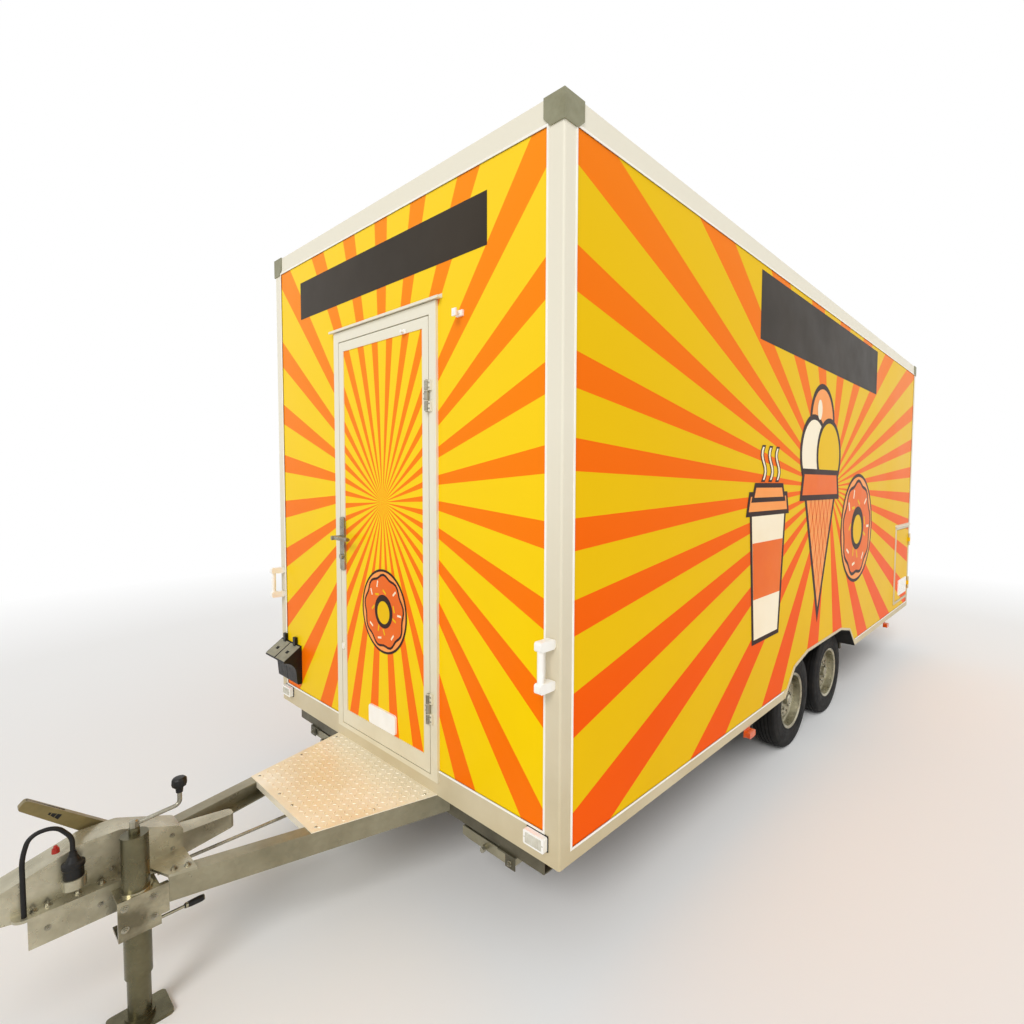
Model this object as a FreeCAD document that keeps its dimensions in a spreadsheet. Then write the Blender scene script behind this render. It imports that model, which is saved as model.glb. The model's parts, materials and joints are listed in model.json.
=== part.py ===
# Concession trailer on two axles, parked on its jack: millimetres, +X forward, +Y left, +Z up
import FreeCAD, Part
import math
import os
from types import SimpleNamespace

import Sketcher

# Driving sizes; every other size and place is worked out from these
SIZES = {
    # body, from the ground up
    "body_length": 5200,
    "body_width": 2200,
    "body_height": 2450,
    "floor_height": 437,
    "tail_reach": 38,
    "side_reach": 26,
    "wall": 32,
    "floor_thickness": 38,
    "roof_thickness": 40,
    # aluminium edge profiles round the panels, and the corner caps
    "profile_skin": 3,
    "post_front": 75,
    "post_side": 60,
    "rail_top": 84,
    "rail_front": 107,
    "rail_side": 52,
    "roof_lip": 60,
    "under_lip": 35,
    "profile_corner": 8,
    "cap_reach": 88,
    "cap_plate": 4,
    "cap_bevel": 30,
    # doors in general
    "door_gap": 5,
    "door_thickness": 34,
    "jamb": 12,
    "panel_recess": 4,
    "leaf_proud": 6,
    "pin_play": 0.05,
    "clearance": 5,
    # three-knuckle hinges
    "hinge_radius": 9,
    "hinge_pin": 5,
    "hinge_length": 120,
    "hinge_standoff": 17,
    "hinge_tab": 24,
    "knuckle_gap": 1,
    # front door
    "door_width": 736,
    "door_head": 552,
    "door_sill": 82,
    "door_centre": 16,
    "door_border": 42,
    "door_kick": 68,
    "door_proud": 8,
    "frame_face": 46,
    "frame_proud": 8,
    "hinge_low": 290,
    "hinge_high": 368,
    "handle_plate_width": 44,
    "handle_plate_height": 255,
    "handle_height": 985,
    "lever_length": 135,
    "lever_standoff": 45,
    "lever_bar": 18,
    "handle_plate": 7,
    "lock_drop": 92,
    "lock_radius": 13,
    "lock_reach": 16,
    "vent_width": 224,
    "vent_height": 86,
    "vent_low": 122,
    "vent_proud": 9,
    # rain gutters
    "drip_overhang": 34,
    "drip_depth": 22,
    "drip_height": 16,
    "drip_above": 56,
    "locker_drip_above": 34,
    # gas locker at the tail of the left side
    "locker_width": 510,
    "locker_height": 684,
    "locker_sill": 133,
    "locker_from_tail": 90,
    "locker_depth": 460,
    "locker_board": 12,
    "locker_face": 24,
    "locker_hinge_in": 60,
    "locker_pull_in": 22,
    "locker_pull_low": 450,
    "locker_pull_height": 143,
    "locker_pull_width": 34,
    "locker_vent_in": 70,
    "locker_vent_low": 42,
    "locker_vent_width": 330,
    "locker_vent_height": 150,
    "louvre_pitch": 20,
    "louvre_height": 7,
    # serving hatch on the right side
    "hatch_width": 3000,
    "hatch_head": 230,
    "hatch_sill": 1040,
    "hatch_from_front": 880,
    "hatch_hinge_in": 180,
    # wheels
    "axle_back": 2250,
    "axle_spacing": 705,
    "tyre_radius": 297,
    "tyre_width": 165,
    "tread_width": 132,
    "tyre_bulge": 110,
    "rim_radius": 165,
    "rim_width": 140,
    "wheel_inset": 80,
    "rim_wall": 5,
    "rim_hole_circle": 93,
    "rim_hole": 9,
    "hub_radius": 56,
    "hub_cap": 31,
    "hub_cap_reach": 60,
    "drum_radius": 112,
    "drum_width": 46,
    # axles
    "axle_tube": 80,
    "axle_lead": 160,
    "arm_back": 147.5,
    "swing_arm": 26,
    "spindle_radius": 15,
    "spindle_reach": 26,
    # wheel arches
    "arch_rise": 190,
    "arch_shoulder": 143,
    "arch_clear": 53,
    "arch_slope_low": 149,
    "arch_slope_high": 219,
    "arch_bend": 40,
    "arch_board": 6,
    "arch_depth": 305,
    "arch_lip": 3,
    # chassis rails and cross bars
    "rail_inset": 365,
    "rail_width": 45,
    "rail_height": 100,
    "rail_plate": 4,
    "cross_width": 45,
    "cross_height": 95,
    "cross_setback": 50,
    "tail_bar_setback": 110,
    "cross_inset": 120,
    "outrigger_width": 40,
    "outrigger_height": 60,
    "bar_clear": 60,
    "bar_step": 640,
    # drawbar arms and the deck on them
    "arm_height": 80,
    "arm_width": 58,
    "arm_plate": 5,
    "arm_tip": 175.5,
    "arm_taper": 0.30,
    "arm_setback": 375,
    "deck_gap": 157,
    "deck_plate": 3,
    "deck_fold": 24,
    # overrun housing on its yoke
    "housing_front": 1190,
    "housing_length": 445,
    "housing_half": 46,
    "housing_plate": 6,
    "housing_foot": 392,
    "housing_shoulder": 520,
    "housing_peak": 585,
    "peak_setback": 285,
    "peak_length": 90,
    "yoke_setback": 40,
    "yoke_half": 92,
    "yoke_plate": 8,
    "yoke_deep": 85,
    "tongue_reach": 158,
    "tongue_half": 24,
    "tongue_low": 40,
    "tongue_top": 88,
    "tongue_back": 100,
    # draw tube, bellows and coupling head
    "draw_height": 470,
    "draw_radius": 25,
    "draw_inside": 180,
    "bellows_length": 100,
    "bellows_radius": 39,
    "coupling_length": 210,
    "coupling_half": 38,
    "coupling_jaw": 118,
    "socket_radius": 25.4,
    "socket_setback": 62,
    "socket_deep": 26,
    # brake rod and handbrake
    "brake_rod": 6,
    "rod_play": 8,
    "rod_height": 374,
    "link_back": 50,
    "link_pin": 8,
    "link_half": 14,
    "link_plate": 7,
    "yard_half": 60,
    "yard_inset": 20,
    "pivot_setback": 322,
    "lever_pivot_height": 496,
    "lever_pin_reach": 44,
    "lever_pin": 8,
    "handbrake_run": 245,
    "handbrake_rise": 221,
    "lever_side_gap": 10,
    "lever_thick": 24,
    "lever_root": 24,
    "lever_tip": 15,
    # jack in its clamp
    "jack_setback": 302,
    "jack_offset": 134,
    "jack_radius": 35,
    "jack_wall": 5,
    "jack_top": 600,
    "jack_bottom": 150,
    "boss_radius": 14,
    "boss_height": 20,
    "leg_overlap": 240,
    "foot_length": 150,
    "foot_width": 120,
    "foot_plate": 10,
    "crank_throw": 117,
    "crank_bar": 7,
    "crank_rise": 62,
    "knob_radius": 17,
    "knob_height": 46,
    "clamp_half": 52,
    "clamp_top": 424,
    "clamp_low": 300,
    "clamp_lever": 122,
    # corner steadies, folded up
    "steady_inset": 288,
    "steady_length": 292,
    "steady_height": 312,
    "steady_width": 44,
    "steady_deep": 40,
    "steady_channel": 4,
    "steady_pin": 7,
    # lamps and the plate holder
    "lamp_width": 98,
    "lamp_height": 50,
    "lamp_depth": 22,
    "lamp_in": 100,
    "lamp_up": 72,
    "side_lamp_length": 66,
    "side_lamp_height": 34,
    "side_lamp_fore": 1405,
    "side_lamp_aft": 916,
    "tail_lamp_width": 110,
    "tail_lamp_height": 240,
    "tail_lamp_in": 130,
    "tail_lamp_up": 150,
    "plate_width": 530,
    "plate_height": 122,
    "plate_up": 260,
    # grab handles and wheel chocks
    "grip_height": 166,
    "grip_low": 596,
    "grip_stand": 52,
    "grip_radius": 11,
    "chock_width": 124,
    "chock_gap": 4,
    "chock_reach": 90,
    "chock_drop": 70,
    "chock_height": 208,
    "chock_low": 145,
    "chock_in": 4,
    "hook_width": 26,
    "hook_height": 38,
    "hook_reach": 14,
    # lighting plug and its lead
    "plug_setback": 170,
    "plug_low": 478,
    "plug_radius": 24,
    "plug_length": 105,
    "plug_cup": 4,
    "cable_radius": 6,
    "lead_setback": 65,
}


class Size:
    """A length or place: its number, and the formula that ties it to the sheet."""

    def __init__(self, value, formula):
        self.value = float(value)
        self.formula = formula

    def _with(self, other, sign, value):
        return Size(value, "(%s %s %s)" % (self.formula, sign, sized(other).formula))

    def __add__(self, other):
        return self._with(other, "+", self.value + sized(other).value)

    def __sub__(self, other):
        return self._with(other, "-", self.value - sized(other).value)

    def __mul__(self, other):
        return self._with(other, "*", self.value * sized(other).value)

    def __truediv__(self, other):
        return self._with(other, "/", self.value / sized(other).value)

    def __radd__(self, other):
        return sized(other) + self

    def __rsub__(self, other):
        return sized(other) - self

    def __rmul__(self, other):
        return sized(other) * self

    def __neg__(self):
        return self * -1


def sized(number):
    """The number itself as a Size."""
    return number if isinstance(number, Size) else Size(number, "(%r)" % float(number))


doc = FreeCAD.newDocument("trailer")
sheet = doc.addObject("Spreadsheet::Sheet", "dims")
for row, (name, number) in enumerate(SIZES.items(), start=1):
    sheet.set("A%d" % row, name)
    sheet.set("B%d" % row, str(number))
    sheet.setAlias("B%d" % row, name)
doc.recompute()
d = SimpleNamespace(**{name: Size(number, "dims." + name) for name, number in SIZES.items()})
subparts = {}


# Ways of making solids

def tie(thing, prop, size):
    """Bind one property to its formula."""
    thing.setExpression(prop, sized(size).formula)


def place(thing, x, y, z):
    for axis, size in zip("xyz", (x, y, z)):
        tie(thing, "Placement.Base." + axis, size)


def keep(label, thing):
    """Mark the object as the sub-part with this name."""
    thing.Label = label
    subparts[label] = thing
    return thing


def block(x, y, z):
    """A block that fills three ranges, each given as a pair of places in any order."""
    solid = doc.addObject("Part::Box", "block")
    lows = []
    for prop, ends in zip(("Length", "Width", "Height"), (x, y, z)):
        low, high = sorted((sized(end) for end in ends), key=lambda end: end.value)
        tie(solid, prop, high - low)
        lows.append(low)
    place(solid, *lows)
    return solid


TURNS = {
    "X": FreeCAD.Rotation(FreeCAD.Vector(0, 1, 0), 90),
    "Y": FreeCAD.Rotation(FreeCAD.Vector(1, 0, 0), -90),
    "Z": FreeCAD.Rotation(),
}


def rod(axis, start, end, centre, radius):
    """A round bar along one axis; centre gives its other two places, in X, Y, Z order."""
    bar = doc.addObject("Part::Cylinder", "bar")
    bar.Placement = FreeCAD.Placement(FreeCAD.Vector(), TURNS[axis])
    start, end = sorted((sized(start), sized(end)), key=lambda size: size.value)
    tie(bar, "Radius", radius)
    tie(bar, "Height", end - start)
    spot = list(centre)
    spot.insert("XYZ".index(axis), start)
    place(bar, *spot)
    return bar


def fuse(*shapes):
    union = doc.addObject("Part::MultiFuse", "union")
    union.Shapes = list(shapes)
    return union


def cut(base, *tools):
    """The base without the tools."""
    rest = doc.addObject("Part::Cut", "rest")
    rest.Base = base
    rest.Tool = tools[0] if len(tools) == 1 else fuse(*tools)
    return rest


def common(*shapes):
    shared = doc.addObject("Part::MultiCommon", "shared")
    shared.Shapes = list(shapes)
    return shared


def group(*solids):
    """Separate solids of one sub-part."""
    gathered = doc.addObject("Part::Compound", "gathered")
    gathered.Links = list(solids)
    return gathered


def mirror(source):
    """The same piece on the trailer's other side."""
    image = doc.addObject("Part::Mirroring", "image")
    image.Source = source
    image.Normal = (0, 1, 0)
    return image


def pair(source):
    return group(source, mirror(source))


def sketch_on(body, plane):
    drawing = body.newObject("Sketcher::SketchObject", "outline")
    datum = next(f for f in body.Origin.OriginFeatures if f.Role == plane + "_Plane")
    drawing.AttachmentSupport = [(datum, "")]
    drawing.MapMode = "FlatFace"
    return drawing


def join(drawing, *words):
    return drawing.addConstraint(Sketcher.Constraint(*words))


def hold(drawing, geometry, corner):
    """Hold the start of a side, or a point, at its place from the sketch's origin."""
    for kind, size in (("DistanceX", corner[0]), ("DistanceY", corner[1])):
        held = join(drawing, kind, -1, 1, geometry, 1, sized(size).value)
        tie(drawing, "Constraints[%d]" % held, size)


def rounding(spot, before, after, radius):
    """Where a round of this radius leaves the two sides of a corner, and its centre."""
    back = (before - spot).normalize()
    ahead = (after - spot).normalize()
    half = back.getAngle(ahead) / 2
    reach = radius / math.tan(half)
    centre = spot + (back + ahead).normalize() * (radius / math.sin(half))
    return spot + back * reach, spot + ahead * reach, centre


def arc_between(start, end, centre):
    """The arc that runs counter-clockwise from start to end."""
    first, last = (math.atan2(p.y - centre.y, p.x - centre.x) for p in (start, end))
    if last < first:
        last += 2 * math.pi
    circle = Part.Circle(centre, FreeCAD.Vector(0, 0, 1), (start - centre).Length)
    return Part.ArcOfCircle(circle, first, last)


def draw(drawing, corners):
    """A closed outline of straight sides; a corner is (x, y) or (x, y, radius of its round)."""
    spots = [FreeCAD.Vector(sized(c[0]).value, sized(c[1]).value, 0) for c in corners]
    count = len(corners)
    bends = []
    for i, corner in enumerate(corners):
        before, after = spots[i - 1], spots[(i + 1) % count]
        if len(corner) == 3:
            bends.append(rounding(spots[i], before, after, sized(corner[2]).value))
        else:
            bends.append((spots[i], spots[i], None))
    sides = []
    for i in range(count):
        line = Part.LineSegment(bends[i][1], bends[(i + 1) % count][0])
        sides.append(drawing.addGeometry(line, False))
    for i, corner in enumerate(corners):
        side_in, side_out = sides[i - 1], sides[i]
        arrive, leave, centre = bends[i]
        if centre is None:
            join(drawing, "Coincident", side_in, 2, side_out, 1)
            hold(drawing, side_out, corner)
            continue
        turns_left = (spots[i] - spots[i - 1]).cross(leave - spots[i]).z > 0
        ends = (arrive, leave) if turns_left else (leave, arrive)
        bend = drawing.addGeometry(arc_between(*ends, centre), False)
        spot = drawing.addGeometry(Part.Point(spots[i]), True)
        hold(drawing, spot, corner)
        join(drawing, "PointOnObject", spot, 1, side_in)
        join(drawing, "PointOnObject", spot, 1, side_out)
        join(drawing, "Tangent", side_in, 2, bend, 1 if turns_left else 2)
        join(drawing, "Tangent", bend, 2 if turns_left else 1, side_out, 1)
        radius = join(drawing, "Radius", bend, sized(corner[2]).value)
        tie(drawing, "Constraints[%d]" % radius, corner[2])


def rounded(first, second, radius):
    """Corners of a rounded rectangle between two ranges."""
    return [
        (first[0], second[0], radius), (first[1], second[0], radius),
        (first[1], second[1], radius), (first[0], second[1], radius),
    ]


def prism(plane, corners, low, high):
    """An outline in one plane, padded from low to high along the axis across that plane."""
    body = doc.addObject("PartDesign::Body", "profile")
    drawing = sketch_on(body, plane)
    draw(drawing, corners)
    pad = body.newObject("PartDesign::Pad", "pad")
    pad.Profile = drawing
    pad.Reversed = plane == "XZ"
    low, high = sorted((sized(low), sized(high)), key=lambda size: size.value)
    tie(pad, "Length", high - low)
    tie(body, "Placement.Base." + {"XY": "z", "XZ": "y", "YZ": "x"}[plane], low)
    return body


def turned(axis, corners, centre=(0, 0, 0)):
    """A lathe form about one axis; a corner is (place along the axis, radius, its round)."""
    body = doc.addObject("PartDesign::Body", "turned")
    drawing = sketch_on(body, {"X": "XZ", "Y": "YZ", "Z": "XZ"}[axis])
    if axis == "Z":
        corners = [(c[1], c[0]) + tuple(c[2:]) for c in corners]
    draw(drawing, corners)
    spin = body.newObject("PartDesign::Revolution", "spin")
    spin.Profile = drawing
    spin.ReferenceAxis = (drawing, ["V_Axis" if axis == "Z" else "H_Axis"])
    spin.Angle = 360
    place(body, *centre)
    return body


def hinge(line, low, out, across, face):
    """The fixed half and the leaf's half of a three-knuckle hinge along one axis. out is the
    axis across the wall and the hinge line's place on it, and across is the same along the
    leaf, with the leaf's direction; the tabs reach back to the face."""
    third = d.hinge_length / 3
    centre = [None, None]
    others = [name for name in "XYZ" if name != line]
    centre[others.index(out[0])] = out[1]
    centre[others.index(across[0])] = across[1]

    def tab(span, direction):
        reach = (across[1], across[1] + direction * d.hinge_tab)
        ranges = {line: span, out[0]: (face, out[1]), across[0]: reach}
        return block(ranges["X"], ranges["Y"], ranges["Z"])

    spans = [
        (low, low + third - d.knuckle_gap),
        (low + third, low + third * 2),
        (low + third * 2 + d.knuckle_gap, low + d.hinge_length),
    ]
    fixed = [rod(line, low, low + d.hinge_length, centre, d.hinge_pin)]
    for span in (spans[0], spans[2]):
        fixed += [rod(line, *span, centre, d.hinge_radius), tab(span, -across[2])]
    middle = fuse(rod(line, *spans[1], centre, d.hinge_radius), tab(spans[1], across[2]))
    bore = rod(line, spans[1][0] - 1, spans[1][1] + 1, centre, d.hinge_pin + d.pin_play)
    return fixed, cut(middle, bore)


# Main planes of the body

nose_reach = d.housing_front + d.bellows_length + d.coupling_length
front = (d.body_length + d.tail_reach - nose_reach) / 2
rear = front - d.body_length
nose = front + nose_reach
housing_fore = front + d.housing_front
housing_back = housing_fore - d.housing_length
arm_end = housing_fore - d.arm_setback
arm_reach = arm_end - front
arm_root = d.arm_tip + d.arm_taper * arm_reach
deck_reach = housing_back - d.tongue_reach - d.deck_gap - front
side = d.body_width / 2
rail_offset = side - d.rail_inset
cross_end = side - d.cross_inset
base = d.floor_height
top = base + d.body_height
face_front = front - d.profile_skin
face_rear = rear + d.profile_skin
face_side = side - d.profile_skin
inner_side = face_side - d.wall
wall_top = top - d.profile_skin - d.roof_thickness
axle_places = {"front": front - d.axle_back, "rear": front - d.axle_back - d.axle_spacing}
wheel_y = side - d.wheel_inset - d.tyre_width / 2
arm_inner = wheel_y - d.arm_back
arch_fore = axle_places["front"] + d.tyre_radius + d.arch_clear
arch_aft = axle_places["rear"] - d.tyre_radius - d.arch_clear

# Leaves of the front door, the gas locker and the serving hatch

door_low = d.door_centre - d.door_width / 2
door_high = d.door_centre + d.door_width / 2
door_bottom = base + d.door_sill
door_top = top - d.door_head
frame_bottom = door_bottom - d.door_gap - d.frame_face * 0.45
locker_aft = rear + d.locker_from_tail
locker_fore = locker_aft + d.locker_width
locker_bottom = base + d.locker_sill
locker_top = locker_bottom + d.locker_height
hatch_fore = front - d.hatch_from_front
hatch_aft = hatch_fore - d.hatch_width
hatch_bottom = base + d.hatch_sill
hatch_top = top - d.hatch_head


def wider(ends, margin):
    """A range with the same margin added at both ends."""
    return (ends[0] - margin, ends[1] + margin)


def framed(x, y, z, axis, margins):
    """A frame round an opening: the ranges are the opening's, and margins its wall each way."""
    ranges = {"X": x, "Y": y, "Z": z}
    outer, inner = {}, {}
    for name, ends in ranges.items():
        low, high = sorted((sized(end) for end in ends), key=lambda size: size.value)
        if name == axis:
            outer[name], inner[name] = (low, high), (low - 1, high + 1)
        else:
            inner[name] = (low, high)
            outer[name] = wider((low, high), margins)
    whole = block(outer["X"], outer["Y"], outer["Z"])
    return cut(whole, block(inner["X"], inner["Y"], inner["Z"]))


# Body

def arch_outline(grow, low):
    """The wheel arch seen from the side: a low trapezoid with bent shoulders."""
    fore, aft = arch_fore + grow, arch_aft - grow
    shoulder = base + d.arch_shoulder + grow / 2
    crown = base + d.arch_rise + grow
    run = d.arch_slope_low + d.arch_slope_high
    return [
        (fore, low),
        (fore - d.arch_slope_low, shoulder, d.arch_bend),
        (fore - run, crown, d.arch_bend),
        (aft + run, crown, d.arch_bend),
        (aft + d.arch_slope_low, shoulder, d.arch_bend),
        (aft, low),
    ]


def make_panels():
    """Floor, roof and the four sandwich walls."""
    low, high = face_rear + d.wall, face_front - d.wall
    floor = block((low, high), (-inner_side, inner_side), (base, base + d.floor_thickness))
    arch_x = wider((arch_aft, arch_fore), d.arch_board)
    notch = block(arch_x, (side - d.arch_depth, side), (base - 1, base + d.floor_thickness + 1))
    keep("floor_panel", cut(floor, notch, mirror(notch)))
    ends = (face_rear, face_front)
    keep("roof_panel", block(ends, (-face_side, face_side), (wall_top, top - d.profile_skin)))

    foot = base + d.profile_skin
    grow = d.door_gap + d.jamb
    width = (-face_side, face_side)
    wall = block((high, face_front), width, (foot, wall_top))
    doorway = block(
        (high - 1, face_front + 1), wider((door_low, door_high), grow), wider((door_bottom, door_top), grow)
    )
    keep("wall_front", cut(wall, doorway))
    keep("wall_rear", block((face_rear, low), width, (foot, wall_top)))

    arch = prism("XZ", arch_outline(d.arch_board, base), inner_side - 1, face_side + 1)
    wall = block((low, high), (inner_side, face_side), (foot, wall_top))
    through = (inner_side - 1, face_side + 1)
    gate = block(wider((locker_aft, locker_fore), grow), through, wider((locker_bottom, locker_top), grow))
    keep("wall_left", cut(wall, arch, gate))
    window = block(wider((hatch_aft, hatch_fore), grow), through, wider((hatch_bottom, hatch_top), grow))
    keep("wall_right", mirror(cut(wall, arch, window)))


def make_edges():
    """Rounded aluminium profiles that cover every edge of the body, and grey corner caps."""
    rounded = d.profile_corner
    plan = [(front, -side, rounded), (front, side, rounded), (rear, side, rounded), (rear, -side, rounded)]
    outside = prism("XY", plan, base, top)
    inside = (base + d.profile_skin, top - d.profile_skin)
    panels = block((face_rear, face_front), (-face_side, face_side), inside)
    half = side - d.post_front
    ends = block((rear - 1, front + 1), (-half, half), (base + d.rail_front, top - d.rail_top))
    along = wider((rear, front), -d.post_side)
    sides = block(along, (-side - 1, side + 1), (base + d.rail_side, top - d.rail_top))
    half = side - d.roof_lip
    lid = block(wider((rear, front), -d.roof_lip), (-half, half), (inside[1] - 1, top + 1))
    half = side - d.under_lip
    belly = block(wider((rear, front), -d.under_lip), (-half, half), (base - 1, inside[0] + 1))
    arches = prism("XZ", arch_outline(d.arch_board, base), -side - 1, side + 1)
    sill_y = wider((door_low, door_high), d.door_gap + d.frame_face)
    sill = block((face_front - 1, front + 1), sill_y, (frame_bottom, door_top))
    keep("edge_profiles", cut(outside, panels, ends, sides, lid, belly, arches, sill))

    caps = []
    for x, inward in ((front, -1), (rear, 1)):
        reach, plate = d.cap_reach, d.cap_plate
        cap_x = (x - inward * plate, x + inward * reach)
        cube = block(cap_x, (side - reach, side + plate), (top - reach, top + plate))
        inner_x = (x, x + inward * (reach + 1))
        inner = block(inner_x, (side - reach - 1, side), (top - reach - 1, top))
        bevel = prism(
            "YZ",
            [
                (side - reach - 1, top - reach - 1),
                (side - reach - 1, top - reach + d.cap_bevel),
                (side - reach + d.cap_bevel, top - reach - 1),
            ],
            x - inward * (plate + 1), x + inward * (reach + 1),
        )
        side_bevel = prism(
            "XZ",
            [
                (x + inward * (reach + 1), top - reach - 1),
                (x + inward * (reach + 1), top - reach + d.cap_bevel),
                (x + inward * (reach - d.cap_bevel), top - reach - 1),
            ],
            side - reach - 1, side + plate + 1,
        )
        caps.append(cut(cube, inner, bevel, side_bevel))
    keep("corner_caps", group(*caps, *[mirror(cap) for cap in caps]))


def make_arches():
    """Boxed wheel arches over each pair of wheels."""
    outer = prism("XZ", arch_outline(d.arch_board, base), side - d.arch_depth, side + d.arch_lip)
    hollow = prism("XZ", arch_outline(0, base - 1), side - d.arch_depth + d.arch_board, side + d.arch_lip + 1)
    keep("wheel_boxes", pair(cut(outer, hollow)))


def make_door():
    """Front door: frame with jamb, framed leaf, infill panel, handle, vent and hinges."""
    gap = d.door_gap
    y, z = wider((door_low, door_high), gap), wider((door_bottom, door_top), gap)
    lining = framed((face_front - d.wall, face_front), y, z, "X", d.jamb)
    flange = framed((face_front, front + d.frame_proud), y, z, "X", d.frame_face)
    low_edge = (door_bottom - gap - d.frame_face - 1, frame_bottom)
    trimmed = cut(flange, block((face_front - 1, front + d.frame_proud + 1), (-side, side), low_edge))
    leaf_face = front + d.door_proud
    fixed, moving = [], []
    for low in (base + d.hinge_low, door_top - d.hinge_high):
        halves = hinge(
            "Z", low, ("X", front + d.hinge_standoff), ("Y", door_high + gap / 2, -1), leaf_face
        )
        fixed += halves[0]
        moving.append(halves[1])
    keep("door_frame", fuse(lining, trimmed, *fixed))

    x = (leaf_face - d.door_thickness, leaf_face)
    leaf = block(x, (door_low, door_high), (door_bottom, door_top))
    infill_y = wider((door_low, door_high), -d.door_border)
    infill_z = (door_bottom + d.door_kick, door_top - d.door_border)
    keep("door_leaf", fuse(cut(leaf, block(wider(x, 1), infill_y, infill_z)), *moving))
    keep("door_panel", block(wider(x, -d.panel_recess), infill_y, infill_z))

    plate_y = door_low + d.door_border / 2 + 2
    half = d.handle_plate_width / 2
    low = base + d.handle_height - d.handle_plate_height * 0.62
    outline = rounded((plate_y - half, plate_y + half), (low, low + d.handle_plate_height), 12)
    plate = prism("YZ", outline, leaf_face, leaf_face + d.handle_plate)
    grip_x = leaf_face + d.lever_standoff
    height = base + d.handle_height
    spindle_end = grip_x + d.lever_bar / 2 + 2
    spindle = rod("X", leaf_face, spindle_end, (plate_y, height), d.lever_bar / 2 + 1.5)
    lever = rod("Y", plate_y, plate_y + d.lever_length, (grip_x, height), d.lever_bar / 2)
    lock = rod("X", leaf_face, leaf_face + d.lock_reach, (plate_y, height - d.lock_drop), d.lock_radius)
    keep("door_handle", fuse(plate, spindle, lever, lock))

    panel_face = leaf_face - d.panel_recess
    middle = d.door_centre
    low = base + d.vent_low + d.door_kick / 2
    outline = rounded(wider((middle, middle), d.vent_width / 2), (low, low + d.vent_height), 14)
    keep("door_vent", prism("YZ", outline, panel_face, panel_face + d.vent_proud))


def make_drip_rails():
    """Rain gutters above the door and the locker."""
    depth, lip = d.drip_depth, d.drip_height

    def gutter(face, low, outward):
        return [
            (face, low), (face + outward * depth, low - 3), (face + outward * depth, low + 7),
            (face + outward * (depth - 3), low + 7), (face + outward * (depth - 3), low + 1),
            (face + outward * 3, low + 4), (face + outward * 3, low + lip), (face, low + lip),
        ]

    over_door = door_top + d.drip_above
    span = wider((door_low, door_high), d.frame_face + d.drip_overhang)
    door_rail = prism("XZ", gutter(face_front, over_door, 1), *span)
    over_locker = locker_top + d.locker_drip_above
    span = (locker_aft - d.locker_face, locker_fore + d.locker_face + d.drip_overhang / 2)
    locker_rail = prism("YZ", gutter(face_side, over_locker, 1), *span)
    keep("drip_rails", group(door_rail, locker_rail))


def make_locker():
    """Gas locker at the tail: frame, inner box, leaf with its vent and recessed pull."""
    gap = d.door_gap
    x, z = wider((locker_aft, locker_fore), gap), wider((locker_bottom, locker_top), gap)
    lining = framed(x, (inner_side, face_side), z, "Y", d.jamb)
    flange = framed(x, (face_side, side + d.leaf_proud), z, "Y", d.locker_face)
    leaf_face = side + d.leaf_proud
    fixed, moving = [], []
    for low in (locker_bottom + d.locker_hinge_in, locker_top - d.locker_hinge_in - d.hinge_length):
        line_y = side + d.hinge_standoff
        halves = hinge("Z", low, ("Y", line_y), ("X", locker_aft - gap / 2, 1), leaf_face)
        fixed += halves[0]
        moving.append(halves[1])
    keep("locker_frame", fuse(lining, flange, *fixed))

    board = d.locker_board
    outer_x = wider((locker_aft, locker_fore), gap + d.jamb)
    outer_z = wider((locker_bottom, locker_top), gap + d.jamb)
    deep = inner_side - d.locker_depth
    outer = block(outer_x, (deep, inner_side), outer_z)
    inner = block(wider(outer_x, -board), (deep + board, inner_side + 1), wider(outer_z, -board))
    keep("locker_box", cut(outer, inner))

    leaf_y = (leaf_face - d.door_thickness, leaf_face)
    leaf = block((locker_aft, locker_fore), leaf_y, (locker_bottom, locker_top))
    slot_x = (locker_fore - d.locker_pull_in - d.locker_pull_width, locker_fore - d.locker_pull_in)
    slot_z = locker_bottom + d.locker_pull_low
    slot_z = (slot_z, slot_z + d.locker_pull_height)
    slot = block(slot_x, (leaf_face - 14, leaf_face + 1), slot_z)
    keep("locker_leaf", fuse(cut(leaf, slot), *moving))
    low = (locker_aft + d.locker_vent_in, locker_bottom + d.locker_vent_low)
    vent_x = (low[0], low[0] + d.locker_vent_width)
    outline = rounded(vent_x, (low[1], low[1] + d.locker_vent_height), 14)
    vent = prism("XZ", outline, leaf_face, leaf_face + d.vent_proud)
    first = low[1] + d.locker_vent_height / 2 - d.louvre_pitch * 2.5 - d.louvre_height / 2
    louvres = []
    for i in range(6):
        z = first + d.louvre_pitch * i
        proud = (leaf_face + d.vent_proud / 2, leaf_face + d.vent_proud + 1)
        louvres.append(block(wider(vent_x, -24), proud, (z, z + d.louvre_height)))
    vent = cut(vent, *louvres)
    latch = rod("Z", *slot_z, ((slot_x[0] + slot_x[1]) / 2, leaf_face - 8), 5)
    keep("locker_fittings", group(vent, latch))


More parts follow.
